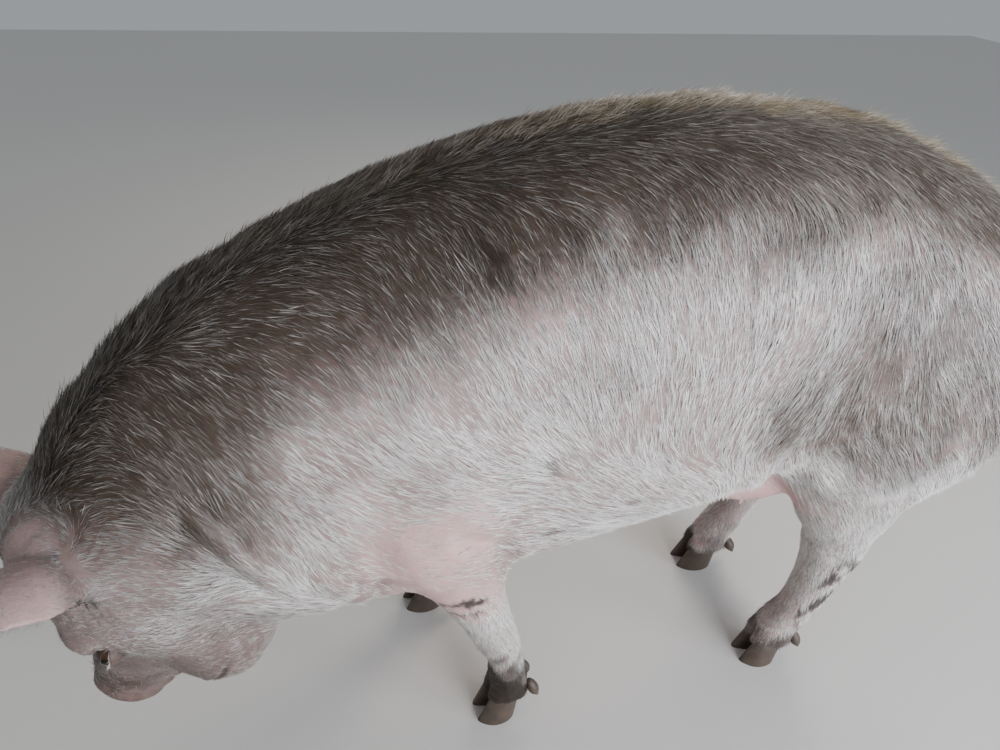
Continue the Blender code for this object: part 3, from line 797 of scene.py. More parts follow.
    # pink where the coat is thin
    pink = np.maximum.reduce(
        [0.28 + 0.04 * ragged + 0.03 * small, udder_weight(points), ear_weight(points) * 0.62,
         leg_weight(points) * (0.55 + 0.10 * ragged), 0.7 * head * rise(0.19, 0.135, z)]
        + [spot(points, place, (0.018, 0.018, 0.030)) for place in teat_places]
        + [deep * spot(halves, place, radii, 0.2 * ragged)
           for place, radii, deep in (((-0.385, 0.21, 0.46), (0.10, 0.12, 0.07), 0.95),
                                      ((-0.34, 0.16, 0.33), (0.07, 0.10, 0.08), 0.8),
                                      ((-0.45, 0.15, 0.66), (0.09, 0.12, 0.07), 0.6),
                                      ((-0.235, 0.21, 0.69), (0.06, 0.12, 0.07), 0.6),
                                      ((0.17, 0.15, 0.37), (0.10, 0.10, 0.05), 0.7),
                                      ((-0.10, 0.0, 0.31), (0.35, 0.20, 0.05), 0.9))])
    return np.clip(np.stack([earth_and_shade, mud, gold, pink], 1), 0.0, 1.0)


def set_attribute(mesh, name, kind, values):
    """Gives a mesh's points a number or a colour each."""
    made = mesh.attributes.new(name, kind, "POINT")
    key = "value" if kind == "FLOAT" else "color"
    made.data.foreach_set(key, values.astype(np.float32).ravel())


def linear(code):
    """An sRGB hex colour as linear red, green and blue, and 1 for alpha."""
    parts = [int(code[i:i + 2], 16) / 255.0 for i in (1, 3, 5)]
    return (*(c / 12.92 if c <= 0.04045 else ((c + 0.055) / 1.055) ** 2.4 for c in parts), 1.0)


def node(tree, kind, settings):
    """Adds a node. A setting is one of its properties, an input's value, or a socket
    that is linked to the input."""
    made = tree.nodes.new(kind)
    for key, value in settings.items():
        if isinstance(value, bpy.types.NodeSocket):
            tree.links.new(value, made.inputs[key])
        elif isinstance(key, str) and hasattr(made, key):
            setattr(made, key, value)
        else:
            made.inputs[key].default_value = value
    return made


def new_material(name, settings):
    """A material, its node tree, and its main shader with some inputs set."""
    made = bpy.data.materials.new(name)
    made.use_nodes = True
    shader = made.node_tree.nodes["Principled BSDF"]
    for key, value in settings.items():
        shader.inputs[key].default_value = value
    return made, made.node_tree, shader


# Pig hide: thin skin, pink where the coat is thin, and grey-brown under the coat as painted
# # shade between the bristles. It is stained by earth and mud, the earth holding painted
# # shade too. Light goes a few millimetres into it. Crossed wrinkles, 9 mm and 2 mm apart,
# # break up a faint grease sheen.
hide, tree, shader = new_material("pig_hide", {
    "Roughness": 0.5, "IOR": 1.42, "Subsurface Weight": 0.08,
    "Subsurface Radius": (0.010, 0.004, 0.002), "Subsurface Scale": 1.0})
marked = node(tree, "ShaderNodeAttribute", {"attribute_name": "marks"})
split = node(tree, "ShaderNodeSeparateColor", {0: marked.outputs["Color"]})
# the grey-brown base colour is painted shade between the bristles; the earth colour also carries
# painted shade
colour = linear("#80746F")
for code, amount in (("#D8B1AC", marked.outputs["Alpha"]), ("#43362B", split.outputs[0]),
                     ("#2C241D", split.outputs[1])):
    colour = node(tree, "ShaderNodeMix", {"data_type": "RGBA", 0: amount, 6: colour,
                                          7: linear(code)}).outputs[2]
tree.links.new(colour, shader.inputs["Base Color"])
object_place = node(tree, "ShaderNodeTexCoord", {}).outputs["Object"]
wrinkle = node(tree, "ShaderNodeTexNoise", {"Scale": 110.0, "Detail": 5.0,
                                            "Vector": object_place})
cells = node(tree, "ShaderNodeTexVoronoi", {"feature": "DISTANCE_TO_EDGE", "Scale": 430.0,
                                            "Vector": object_place})
folds = node(tree, "ShaderNodeBump", {"Strength": 0.45, "Distance": 0.0016,
                                      "Height": wrinkle.outputs["Fac"]})
grain = node(tree, "ShaderNodeBump", {"Strength": 0.40, "Distance": 0.0005,
                                      "Height": cells.outputs["Distance"],
                                      "Normal": folds.outputs["Normal"]})
tree.links.new(grain.outputs["Normal"], shader.inputs["Normal"])
set_attribute(skin.data, "marks", "FLOAT_COLOR", marks_at(to_straight(coordinates(skin.data))))
skin.data.materials.append(hide)
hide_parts(*FLESH, "ear_left", "ear_right")
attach(skin, "root")

# ---- claws -----------------------------------------------------------------------
# A pig stands on two claws of horn on each foot, with two dewclaws behind. Each is a
# wall that grows down in rings from the coronet, where the flesh covers its top. The
# wall is a closed shape, worn flat at the sole.
CLAW_TOP = 0.045                        # the flesh hides it above the coronet
CLAW_LENGTH = 0.0303                    # from its middle to the toe
CLAW_HALVES = (0.0098, 0.0180)          # its width to the cleft, and away from it
RING_STEP = 0.0042                      # height of one growth ring
DEWCLAW_LENGTH = 0.037
DEWCLAW_RADII = (0.0090, 0.0098)


def claw(ball, place, side):
    """A main claw: flat below, the toe worn to a point, rings on the wall."""
    level = np.clip(0.5 + ball[:, 2] * 0.62, 0.0, 1.0)
    round_off = np.sqrt(np.clip(1.0 - ball[:, 2] ** 2, 0.0, 1.0))
    ring = np.clip(round_off * 1.9, 0.0, 1.0) ** 0.7
    ahead, across = unit(ball[:, :2]).T
    ahead, across = ahead * ring, across * ring
    narrow = 1.0 - 0.30 * np.clip(ahead, 0.0, 1.0) ** 2
    width = np.where(across * side < 0.0, *CLAW_HALVES)
    rings = np.sin(level * CLAW_TOP / RING_STEP * 2.0 * math.pi)
    grow = 1.0 + 0.010 * rings * rise(0.1, 0.25, level)
    x = -ahead * CLAW_LENGTH * (1.0 - 0.24 * level) * grow + 0.0135 * level
    y = across * width * narrow * (1.0 - 0.14 * level) * grow - 0.0042 * side
    return np.stack([x, y, level * CLAW_TOP], 1) + (place[0], place[1], 0.0)


def dewclaw(ball, place, side):
    """A small blunt cone that points down and back."""
    share = 0.5 - 0.5 * ball[:, 2]
    thick = 1.0 - 0.45 * rise(0.55, 1.0, share) + 0.015 * np.sin(share * 28.0)
    along = unit(np.array((0.45, 0.18 * side, -0.87)))
    across = unit(np.cross(along, (0.0, 1.0, 0.0)))
    other = np.cross(along, across)
    return (np.outer(share - 0.5, along) * DEWCLAW_LENGTH + place
            + np.outer(ball[:, 0] * thick, across) * DEWCLAW_RADII[0]
            + np.outer(ball[:, 1] * thick, other) * DEWCLAW_RADII[1])


# horn: grey-brown keratin, scuffed and stained, so that it shines little
claw_horn, tree, shader = new_material("claw_horn", {"Roughness": 0.55, "IOR": 1.54})
object_place = node(tree, "ShaderNodeTexCoord", {}).outputs["Object"]
stain = node(tree, "ShaderNodeTexNoise", {"Scale": 60.0, "Detail": 4.0, "Vector": object_place})
colour = node(tree, "ShaderNodeMix", {"data_type": "RGBA", 0: stain.outputs["Fac"],
                                      6: linear("#5C4D40"), 7: linear("#2E2620")})
tree.links.new(colour.outputs[2], shader.inputs["Base Color"])

for leg in LEGS:
    horn = bmesh.new()
    nodes = []
    for kind, segments, shape in (("_claw_", 48, claw), ("_dewclaw_", 24, dewclaw)):
        for part, side in (("inner", -1.0), ("outer", 1.0)):
            nodes.append(leg + kind + part)
            place = to_straight(middle_of(nodes[-1]))[0]
            add_bmesh(horn, shaped_ball(segments, shape, place, side * np.sign(place[1])))
    bmesh.ops.recalc_face_normals(horn, faces=horn.faces)
    claws = smooth_object(leg + "_claws", horn)
    claws.data.materials.append(claw_horn)
    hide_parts(*nodes)
    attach(claws, "root")

# ---- eyes ------------------------------------------------------------------------
# A pig's eye is small, brown and wet, and mostly hidden by its lids. On the model it is
# a glass ball set in from behind. The pupil is wider than it is high.

# glass: brown iris, black pupil and an off-white rim under a wet clear front
eye_glass, tree, shader = new_material("eye_glass", {"Roughness": 0.06, "IOR": 1.38})
gaze = node(tree, "ShaderNodeAttribute", {"attribute_name": "off_gaze"})
iris = node(tree, "ShaderNodeValToRGB", {0: gaze.outputs["Fac"]})
RINGS = ((0.0, "#050404"), (0.30, "#070505"), (0.36, "#3A2416"), (0.62, "#4A3120"),
         (0.70, "#1C120C"), (0.76, "#8C7668"), (1.0, "#B49A8C"))
while len(iris.color_ramp.elements) < len(RINGS):
    iris.color_ramp.elements.new(0.5)
for stop, (place, code) in zip(iris.color_ramp.elements, RINGS):
    stop.position = place
    stop.color = linear(code)
tree.links.new(iris.outputs[0], shader.inputs["Base Color"])

for name in EARS:
    middle, out, along, brow = eye_axes(name)
    bm = bmesh.new()
    bmesh.ops.create_uvsphere(bm, u_segments=64, v_segments=48, radius=EYE_RADIUS)
    turn = Matrix((along, brow, out)).transposed().to_4x4()
    if turn.determinant() < 0.0:
        turn = Matrix((-along, brow, out)).transposed().to_4x4()
    bmesh.ops.transform(bm, matrix=Matrix.Translation(middle) @ turn, verts=bm.verts)
    eyeball = smooth_object("eyeball_" + name, bm)
    eyeball.data.materials.append(eye_glass)
    local = (coordinates(eyeball.data) - middle) / EYE_RADIUS
    gaze = np.hypot((local @ along) * 0.8, local @ brow)
    set_attribute(eyeball.data, "off_gaze", "FLOAT", np.where(local @ out > 0.0, gaze, 2.0))
    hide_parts("eye_" + name)
    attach(eyeball, "root")

# ---- coat ----------------------------------------------------------------------
# Bristles of a grown sow: 20 to 30 mm long and stiff, lying back and down along the
# body in thin overlapping locks, standing along the ridge, and down to stubble on face
# and feet. Each is a slender closed spike rooted just under the hide.
CLUMPS_PER_M2 = 52000 if fine else 8000
PER_CLUMP = 2
CLUMP_WIDTH = 0.0036
BURIED = 0.0008                         # depth of the roots under the skin
CLEAR = 0.09                            # how far a clump's end stays off the skin, of its length
BODY_BRISTLE = 0.026
EAR_BRISTLE = 0.0085
BRISTLE_WIDTH = 0.00115
PATCH = 0.003                           # size of one bristle on its map
SECTION = ((-0.5, -0.25), (0.5, -0.25), (0.0, 0.45))    # corners of a bristle, across and up
# The lie of the coat: a place on the straight body, and the way the hair runs there,
# with y counted outwards on both sides.
LIE = [(-0.74, 0, 0.55, 0.7, 0, 0.7), (-0.6, 0, 0.69, 0.9, 0, 0.4), (-0.42, 0, 0.775, 1, 0, 0.2),
       (-0.2, 0, 0.84, 1, 0, 0.1), (0, 0, 0.866, 1, 0, 0), (0.3, 0, 0.82, 1, 0, -0.2),
       (0.52, 0, 0.69, 0.7, 0, -0.7), (-0.51, 0.04, 0.734, 0.86, 0.45, 0.26),
       (-0.46, 0.07, 0.741, 0.65, 0.7, -0.1), (-0.18, 0.1, 0.83, 0.75, 0.6, -0.25),
       (0.1, 0.1, 0.84, 0.7, 0.65, -0.3), (0.3, 0.1, 0.8, 0.55, 0.65, -0.5),
       (0.45, 0.1, 0.71, 0.5, 0.4, -0.75), (-0.37, 0.12, 0.748, 0.26, 0.8, -0.54),
       (-0.28, 0.15, 0.751, 0.2, 0.7, -0.68), (-0.17, 0.17, 0.751, 0.15, 0.55, -0.82),
       (-0.06, 0.19, 0.749, 0.04, 0.46, -0.89), (0.06, 0.2, 0.745, -0.2, 0.46, -0.85),
       (0.19, 0.2, 0.74, -0.2, 0.5, -0.83), (0.27, 0.19, 0.736, 0.25, 0.5, -0.83),
       (-0.4, 0.17, 0.654, 0.29, 0.45, -0.85), (-0.29, 0.2, 0.65, 0.33, 0.35, -0.87),
       (-0.18, 0.21, 0.643, 0.2, 0.21, -0.96), (-0.05, 0.22, 0.634, -0.14, 0.07, -0.98),
       (0.08, 0.23, 0.623, -0.58, 0.07, -0.77), (0.15, 0.23, 0.617, -0.56, 0.08, -0.81),
       (0.22, 0.22, 0.612, 0.1, 0, -1), (0.3, 0.22, 0.608, 0.45, -0.05, -0.87),
       (0.42, 0.2, 0.6, 0.25, 0, -0.95), (-0.63, 0.08, 0.618, 0.46, 0.76, -0.45),
       (-0.54, 0.13, 0.621, 0.63, 0.51, -0.58), (-0.45, 0.17, 0.6, 0.65, 0.38, -0.62),
       (-0.35, 0.2, 0.573, 0.7, 0.2, -0.67), (-0.24, 0.22, 0.58, 0.65, 0.13, -0.74),
       (-0.11, 0.23, 0.593, 0.05, 0.06, -1), (0.02, 0.23, 0.579, -0.31, 0, -0.95),
       (0.1, 0.22, 0.56, -0.58, 0, -0.8), (-0.61, 0.13, 0.55, 0.4, 0.42, -0.82),
       (-0.51, 0.17, 0.543, 0.71, 0.33, -0.63), (-0.41, 0.2, 0.533, 0.9, 0.25, -0.35),
       (-0.29, 0.21, 0.516, 0.98, 0.1, -0.14), (-0.16, 0.22, 0.5, 0.85, 0, -0.5),
       (-0.04, 0.22, 0.49, 0.8, 0, -0.55), (0.07, 0.21, 0.48, 0.3, 0, -0.9),
       (-0.62, 0.14, 0.51, 0.57, 0.35, -0.75), (-0.57, 0.16, 0.5, 0.33, 0.22, -0.91),
       (-0.52, 0.17, 0.45, 0.3, 0.08, -0.95), (-0.47, 0.18, 0.46, 0.82, 0.12, -0.55),
       (-0.41, 0.2, 0.47, 0.93, 0.2, 0.25), (-0.36, 0.22, 0.44, 0.93, 0.1, 0.3),
       (-0.29, 0.21, 0.45, 0.98, -0.1, -0.15), (-0.14, 0.2, 0.41, 1, 0, -0.08),
       (-0.36, 0.17, 0.36, 0.45, 0, -0.85), (0.17, 0.17, 0.42, 0.75, 0, -0.6),
       (0.22, 0.2, 0.49, 0.6, -0.1, -0.75), (0.3, 0.21, 0.46, 0.45, 0, -0.85),
       (0.4, 0.18, 0.46, 0.1, 0, -1), (0.57, 0.1, 0.62, 0.1, 0.2, -1),
       (0.57, 0.08, 0.5, -0.1, 0, -1), (0, 0, 0.325, 1, 0, 0), (-0.3, 0, 0.275, 1, 0, 0),
       (-0.5, 0, 0.26, 0.9, 0, -0.1), (-0.3, 0.15, 0.28, 0.15, 0, -1),
       (-0.24, 0.13, 0.12, 0.05, 0, -1), (0.3, 0.12, 0.28, 0.05, 0, -1),
       (0.28, 0.11, 0.12, -0.05, 0, -1), (-0.67, 0.13, 0.473, 0.88, 0.37, -0.29),
       (-0.72, 0.11, 0.474, 0.8, 0.6, 0.06), (-0.68, 0.13, 0.422, 0.92, 0.34, -0.1),
       (-0.63, 0.14, 0.412, 0.84, 0.2, 0.5), (-0.58, 0.15, 0.39, 0.95, 0.14, -0.2),
       (-0.74, 0.1, 0.366, 0.68, 0.62, 0.39), (-0.69, 0.12, 0.362, 0.83, 0.41, 0.38),
       (-0.64, 0.12, 0.336, 0.7, 0.07, 0.71), (-0.58, 0.12, 0.297, 0.98, -0.18, 0.12),
       (-0.79, 0, 0.44, 0.1, 0.1, 1), (-0.78, 0.06, 0.36, 0.25, 0.5, 0.85),
       (-0.75, 0, 0.25, 0.05, 0.1, 1), (-0.75, 0, 0.15, 0.1, 0.2, 0.9),
       (-0.66, 0.05, 0.2, 0.55, 0.1, 0.85), (-0.6, 0.03, 0.25, 0.8, 0, 0.5),
       (-0.74, 0.06, 0.52, 0.75, 0.5, 0.4)]


def lie_at(points):
    """The way the hair runs, before it is laid on the skin."""
    halves = folded(points)
    total = np.zeros_like(points)
    for row in LIE:
        gap = ((halves - row[:3]) ** 2).sum(1) + 0.0004
        total += unit(np.array(row[3:])) / gap[:, None] ** 1.6
    total[:, 1] *= np.where(points[:, 1] < 0.0, -1.0, 1.0) * rise(0.0, 0.03, halves[:, 1])
    for name in EARS:
        share, off = ear_share(points, name)
        on_ear = rise(-0.05, 0.12, share) * rise(0.110, 0.090, off)
        total = blend(unit(total), np.array(ear_axes(name)[1]), on_ear[:, None])
    return blend(unit(total), np.array((0.1, 0.0, -1.0)), tail_weight(points)[:, None])


def bristle_mesh(name, roots, ways, outs, lengths, widths, curls, marks, shades, charts):
    """Closed spikes as one mesh: three sides, and a bend in the middle where curled."""
    count = len(roots)
    bends = 2 if np.any(curls) else 1
    ways, outs = unit(ways), unit(outs)
    across = unit(np.cross(ways, outs))
    over = np.cross(across, ways)
    stride = bends * 3 + 1
    points = np.zeros((count, stride, 3))
    lean = np.zeros((count, stride, 3))
    for part in range(bends):
        share = part / bends
        middle = roots + ways * (lengths * share)[:, None]
        middle = middle - outs * (curls * lengths * share * share)[:, None]
        thick = widths * (1.0 - 0.25 * share)
        for corner, (a, b) in enumerate(SECTION):
            points[:, part * 3 + corner] = middle + (across * a + over * b) * thick[:, None]
            lean[:, part * 3 + corner] = outs + across * a * 1.1 + over * b * 0.3
    points[:, -1] = roots + ways * lengths[:, None] - outs * (curls * lengths)[:, None]
    lean[:, -1] = outs
    faces = [(0, 1, 2)]
    for part in range(bends - 1):
        for i in range(3):
            j = (i + 1) % 3
            low, high = part * 3, part * 3 + 3
            faces += [(low + j, low + i, high + j), (high + j, low + i, high + i)]
    low = bends * 3 - 3
    faces += [(low + (i + 1) % 3, low + i, bends * 3) for i in range(3)]
    faces = np.array(faces)
    index = (np.arange(count)[:, None, None] * stride + faces).reshape(-1)
    mesh = bpy.data.meshes.new(name)
    mesh.vertices.add(count * stride)
    mesh.vertices.foreach_set("co", points.astype(np.float32).ravel())
    mesh.loops.add(len(index))
    mesh.loops.foreach_set("vertex_index", index.astype(np.int32))
    mesh.polygons.add(len(index) // 3)
    mesh.polygons.foreach_set("loop_start", np.arange(0, len(index), 3, dtype=np.int32))
    mesh.update(calc_edges=True)
    mesh.polygons.foreach_set("use_smooth", np.ones(len(index) // 3, dtype=bool))
    spread = [(corner / 2.0, part / bends) for part in range(bends) for corner in range(3)]
    spread = np.array(spread + [(0.5, 1.0)])
    uv = (charts[:, None, :] + (spread - 0.5) * PATCH)[:, faces].reshape(-1, 2)
    mesh.uv_layers.new(name="OFBake").data.foreach_set("uv", uv.astype(np.float32).ravel())
    set_attribute(mesh, "marks", "FLOAT_COLOR", np.repeat(marks, stride, axis=0))
    # each bristle is painted darker towards its root, as the shade down among the bristles
    tips = np.linspace(0.0, 1.0, bends + 1).repeat(3)[:stride]
    set_attribute(mesh, "shade", "FLOAT", shades[:, None] * (0.68 + 0.34 * tips))
    mesh.normals_split_custom_set_from_vertices(unit(lean).reshape(-1, 3))
    return mesh


surface = coordinates(skin.data)
outward = coordinates(skin.data, "normal")
skin.data.calc_loop_triangles()
corners = np.empty((len(skin.data.loop_triangles), 3), dtype=np.int32)
skin.data.loop_triangles.foreach_get("vertices", corners.ravel())
a, b, c = (surface[corners[:, i]] for i in range(3))
areas = np.linalg.norm(np.cross(b - a, c - a), axis=1) / 2
centres = to_straight(surface)[corners].mean(1)
facing = unit(outward[corners].mean(1))


def thickness_at(points, out):
    """How close the bristles stand, where 1 is the coat of the flank."""
    x, y, z = points.T
    halves = folded(points)
    head = head_weight(points)
    thick = 1.0 + 0.5 * rise(0.07, 0.02, ridge_height(x) - z) * rise(0.10, 0.04, abs(y))
    thick *= 1.0 - 0.70 * rise(-0.25, -0.75, out[:, 2]) * rise(0.41, 0.34, z)
    bare = np.maximum.reduce([spot(halves, (-0.37, 0.17, 0.40), (0.09, 0.12, 0.09)),
                              spot(halves, (-0.25, 0.15, 0.36), (0.05, 0.08, 0.05)),
                              spot(halves, (0.19, 0.11, 0.36), (0.05, 0.06, 0.03))])
    thick *= 1.0 - 0.55 * bare
    thick = blend(thick, 1.60 + 0.9 * rise(0.30, 0.40, z), head)
    thick = blend(thick, 3.20, leg_weight(points))
    thick = blend(thick, 3.20, ear_weight(points))
    thick += 0.9 * spot(halves, (0.26, 0.17, 0.45), (0.10, 0.07, 0.05))
    thick *= 1.0 - 0.95 * rise(0.0, 0.6, udder_weight(points))
    for place in teat_places:
        thick *= rise(0.010, 0.022, np.hypot(x - place[0], y - place[1]) + (z > place[2] + 0.05))
    thick *= 1.0 - 0.92 * rise(0.165, 0.140, z) * head
    thick *= rise(0.040, 0.050, z)
    for name in EARS:
        near = distance(to_frame(points), middle_of("eye_" + name))
        thick *= rise(0.0115, 0.0160, near)
    return thick


def on_skin(picks):
    """Random places in the picked triangles of the skin, and the way out there."""
    u, v = rng.random((2, len(picks)))
    flip = u + v > 1.0
    u[flip], v[flip] = 1.0 - u[flip], 1.0 - v[flip]
    weights = np.stack([1.0 - u - v, u, v], 1)[:, :, None]
    return ((surface[corners[picks]] * weights).sum(1),
            unit((outward[corners[picks]] * weights).sum(1)))


# Clumps of the coat: where they stand, then how long they are and how they lie.
rng = np.random.default_rng(7)
share = areas * thickness_at(centres, facing)
clumps = int(CLUMPS_PER_M2 * share.sum())
evenly = (np.arange(clumps) + rng.random(clumps)) / clumps
picks = np.searchsorted(np.cumsum(share) / share.sum(), evenly)
seed_at, seed_out = on_skin(picks)
seed_place = to_straight(seed_at)
x, y, z = seed_place.T
head, legs = head_weight(seed_place), leg_weight(seed_place)
ears, tail = ear_weight(seed_place), tail_weight(seed_place)
ridge = rise(0.030, 0.004, ridge_height(x) - z)
ridge = ridge * rise(0.070, 0.020, abs(y)) * rise(-0.80, -0.72, x)
way = turned(lie_at(seed_place), x)
way = unit(way - seed_out * (way * seed_out).sum(1, keepdims=True))
sideways = np.cross(seed_out, way)

grain = waves(seed_place, 0.040, 41)
fine_grain = waves(seed_place, 0.012, 42)
length = BODY_BRISTLE * (1.0 + 0.10 * grain + 0.10 * rng.normal(size=clumps))
under = rise(-0.25, -0.75, seed_out[:, 2]) * rise(0.45, 0.36, z)
length *= 1.0 - 0.25 * under
shoulder = spot(seed_place * (1, 0, 1), (-0.37, 0.0, 0.39), (0.12, 1.0, 0.10))
length *= 1.0 - 0.45 * shoulder
short = np.interp(z, (0.13, 0.22, 0.34, 0.48), (0.005, 0.009, 0.013, 0.022))
length = blend(length, short, head)
root_of_ear = np.zeros(clumps)
for name in EARS:
    share, off = ear_share(seed_place, name)
    by_ear = rise(-0.60, -0.25, share) * rise(0.35, 0.10, share) * rise(0.115, 0.085, off)
    length = length * (1.0 - 0.3 * by_ear)
    root_of_ear = np.maximum(root_of_ear, by_ear)
foot = np.interp(z, (0.04, 0.12, 0.25, 0.35), (0.011, 0.015, 0.017, 0.020))
length = blend(blend(length, foot, legs), EAR_BRISTLE, ears)
length = blend(length, np.interp(z, (0.34, 0.40), (0.042, 0.014)), tail)
wide = BRISTLE_WIDTH * np.clip(length / 0.024, 0.45, 1.0) ** 0.8 * (1.0 - 0.35 * ears)
lift = 0.11 + 0.03 * grain + 0.02 * fine_grain + 0.03 * rng.normal(size=clumps)
lift = np.maximum(lift, 0.04) + 0.05 * head + 0.03 * legs + 0.12 * ridge
lift = lift * (1.0 - 0.5 * ears)
lock = way + sideways * (0.09 * fine_grain + 0.08 * rng.normal(size=clumps))[:, None]
lock = unit(unit(lock) + seed_out * lift[:, None])
# Where the skin turns up in front of a clump, its bristles are raised clear of it.
skin_tree = BVHTree.FromPolygons(surface.tolist(), corners.tolist())
for clump, end in enumerate((seed_at + lock * length[:, None]).tolist()):
    near, upright, _, _ = skin_tree.find_nearest(end)
    missing = CLEAR * length[clump] - (Vector(end) - near).dot(upright)
    if missing > 0.0:
        lock[clump] += np.array(upright) * min(missing / length[clump], 0.6)
lock = unit(lock)

# The single bristles of each clump, drawn a little together at their tips.
member = np.repeat(np.arange(clumps), PER_CLUMP)
total = len(member)
angle = rng.uniform(0.0, 2.0 * math.pi, total)
size = CLUMP_WIDTH * (1.0 - 0.35 * head - 0.40 * legs) * (1.0 - 0.85 * ears) * (1.0 - 0.6 * tail)
radius = np.sqrt(rng.random(total)) * size[member]
offset = (way[member] * np.cos(angle)[:, None] + sideways[member] * np.sin(angle)[:, None])
offset = offset * radius[:, None]
roots = seed_at[member] + offset - seed_out[member] * BURIED
spread = 0.10 + 0.06 * head[member] + 0.05 * ridge[member]
astray = sideways[member] * rng.normal(size=total)[:, None]
astray = astray + seed_out[member] * 0.5 * rng.normal(size=total)[:, None]
own = unit(lock[member] + astray * spread[:, None])
lengths = length[member] * rng.uniform(0.72, 1.12, total)
pull = 0.25 * (1.0 - 0.5 * ridge[member])
tip = blend(roots + own * lengths[:, None],
            seed_at[member] + lock[member] * length[member][:, None], pull[:, None])
ways = unit(tip - roots)
above = (ways * seed_out[member]).sum(1)
ways += seed_out[member] * np.maximum(0.055 - above, 0.0)[:, None]
widths = wide[member] * rng.choice((0.45, 0.75, 1.0, 1.25), total)
places = to_straight(roots)
marks = marks_at(places)
marks[:, 0] *= 1.0 - 0.45 * rng.random(total) ** 4
seen_out = seed_out + np.outer(1.5 * np.maximum(ears, root_of_ear), (0.0, 0.0, 1.0))
shades = 1.03 + 0.29 * rng.normal(size=total) + 0.03 * grain[member] + 0.04 * fine_grain[member]
shades = np.clip(shades, 0.35, 1.40)


def chart_of(points, kind):
    """Places on a cylinder laid round the part, unrolled to 0 to 1 both ways."""
    x, y, z = points.T
    if kind == "body":
        middle = np.interp(x, (-0.70, -0.40, 0.0, 0.35, 0.58), (0.45, 0.52, 0.60, 0.60, 0.58))
        along, round_it = x, np.arctan2(y, z - middle)
    elif kind == "head":
        along, round_it = z - 0.4 * x, np.arctan2(y, -(x + 0.69))
    else:
        axis = np.interp(z, (0.03, 0.10, 0.19, 0.31, 0.43), (0.0, 0.0, -0.03, -0.08, -0.12))
        centre = np.where(x < 0.0, -0.22 + axis, 0.25 - 0.3 * axis)
        along, round_it = z, np.arctan2(abs(y) - 0.12, x - centre)
    flat = np.stack([along, round_it], 1)
    low, high = flat.min(0), flat.max(0)
    return 0.004 + 0.992 * (flat - low) / (high - low + 1e-9)


x, y, z = places.T
on_head, on_leg = head[member] > 0.5, legs[member] > 0.5
on_ear = ears[member] > 0.4
regions = {}
for side, flank in (("left", y < 0.0), ("right", y >= 0.0)):
    body = flank & ~on_head & ~on_leg & ~on_ear
    bands = np.quantile(x[body], (0.25, 0.5, 0.75))
    for i in range(4):
        inside = (x >= (-9, *bands)[i]) & (x < (*bands, 9)[i])
        regions[f"coat_{side}_{i + 1}"] = (body & inside, "body")
    regions[f"coat_head_{side}"] = (flank & on_head & ~on_ear, "head")
    regions[f"coat_ear_{side}"] = (flank & on_ear, "head")
    for part, chosen in (("fore", x < 0.0), ("hind", x >= 0.0)):
        regions[f"coat_{part}leg_{side}"] = (flank & on_leg & ~on_head & ~on_ear & chosen, "leg")

# bristle: keratin, glossy and a little yellow, golden on the ridge and dull brown where earth
# # has dried on it, that brown made deeper with painted shade on back, neck and head; each
# # bristle is painted darker towards its root as shade; seen as pale streaks over pink
bristle, tree, shader = new_material("pig_bristle", {"Roughness": 0.42, "IOR": 1.54})
marked = node(tree, "ShaderNodeAttribute", {"attribute_name": "marks"})
split = node(tree, "ShaderNodeSeparateColor", {0: marked.outputs["Color"]})
shade = node(tree, "ShaderNodeAttribute", {"attribute_name": "shade"})
colour = linear("#EEEAE4")
for code, amount in (("#C6B28C", split.outputs[2]), ("#4A3E32", split.outputs[0]),
                     ("#30271F", split.outputs[1])):
    colour = node(tree, "ShaderNodeMix", {"data_type": "RGBA", 0: amount, 6: colour,
                                          7: linear(code)}).outputs[2]
# scaled by the shade attribute: a random tone for each bristle, and painted shade at the root
dark = node(tree, "ShaderNodeVectorMath", {"operation": "SCALE", 0: colour,
                                           3: shade.outputs["Fac"]})
tree.links.new(dark.outputs[0], shader.inputs["Base Color"])


def add_coat(name, *rows):
    """Makes a piece of the coat."""
    piece = new_object(name, bristle_mesh(name, *rows))
    piece.data.materials.append(bristle)
    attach(piece, "root")


for name, (chosen, kind) in regions.items():
    chosen = np.nonzero(chosen)[0]
    if not len(chosen):
        continue
    add_coat(name, roots[chosen], ways[chosen], seen_out[member[chosen]], lengths[chosen],
             widths[chosen], np.zeros(len(chosen)), marks[chosen], shades[chosen],
             chart_of(places[chosen], kind))

# Along the ridge of the back stand longer golden bristles that lean and curl rearwards.
RIDGE_BRISTLES = 8500 if fine else 2500
RIDGE_LENGTH = 0.033
RIDGE_WIDTH = 0.00075
x, y, z = centres.T
band = rise(0.036, 0.008, abs(y)) * rise(0.060, 0.010, ridge_height(x) - z)
band = band * rise(-0.80, -0.66, x) * areas * (z > 0.45)
roots, root_out = on_skin(rng.choice(len(corners), size=RIDGE_BRISTLES, p=band / band.sum()))
roots = roots - root_out * BURIED
places = to_straight(roots)
x = places[:, 0]
way = turned(lie_at(places), x)
sideways = np.cross(root_out, way)
tuft = waves(places, 0.016, 51)
up = 0.75 + 0.25 * tuft + 0.20 * rng.normal(size=RIDGE_BRISTLES)
way = unit(way + root_out * np.maximum(up, 0.15)[:, None]
           + sideways * (0.22 * rng.normal(size=RIDGE_BRISTLES) + 0.12 * tuft)[:, None])
lengths = RIDGE_LENGTH * rng.uniform(0.55, 1.15, RIDGE_BRISTLES) * (1.0 + 0.12 * tuft)
lengths = lengths * (0.75 + 0.25 * rise(-0.5, 0.0, x))
marks = marks_at(places)
marks[:, 2] = (0.25 + 0.55 * rise(-0.5, -0.1, x)) * rng.uniform(0.5, 1.1, RIDGE_BRISTLES)
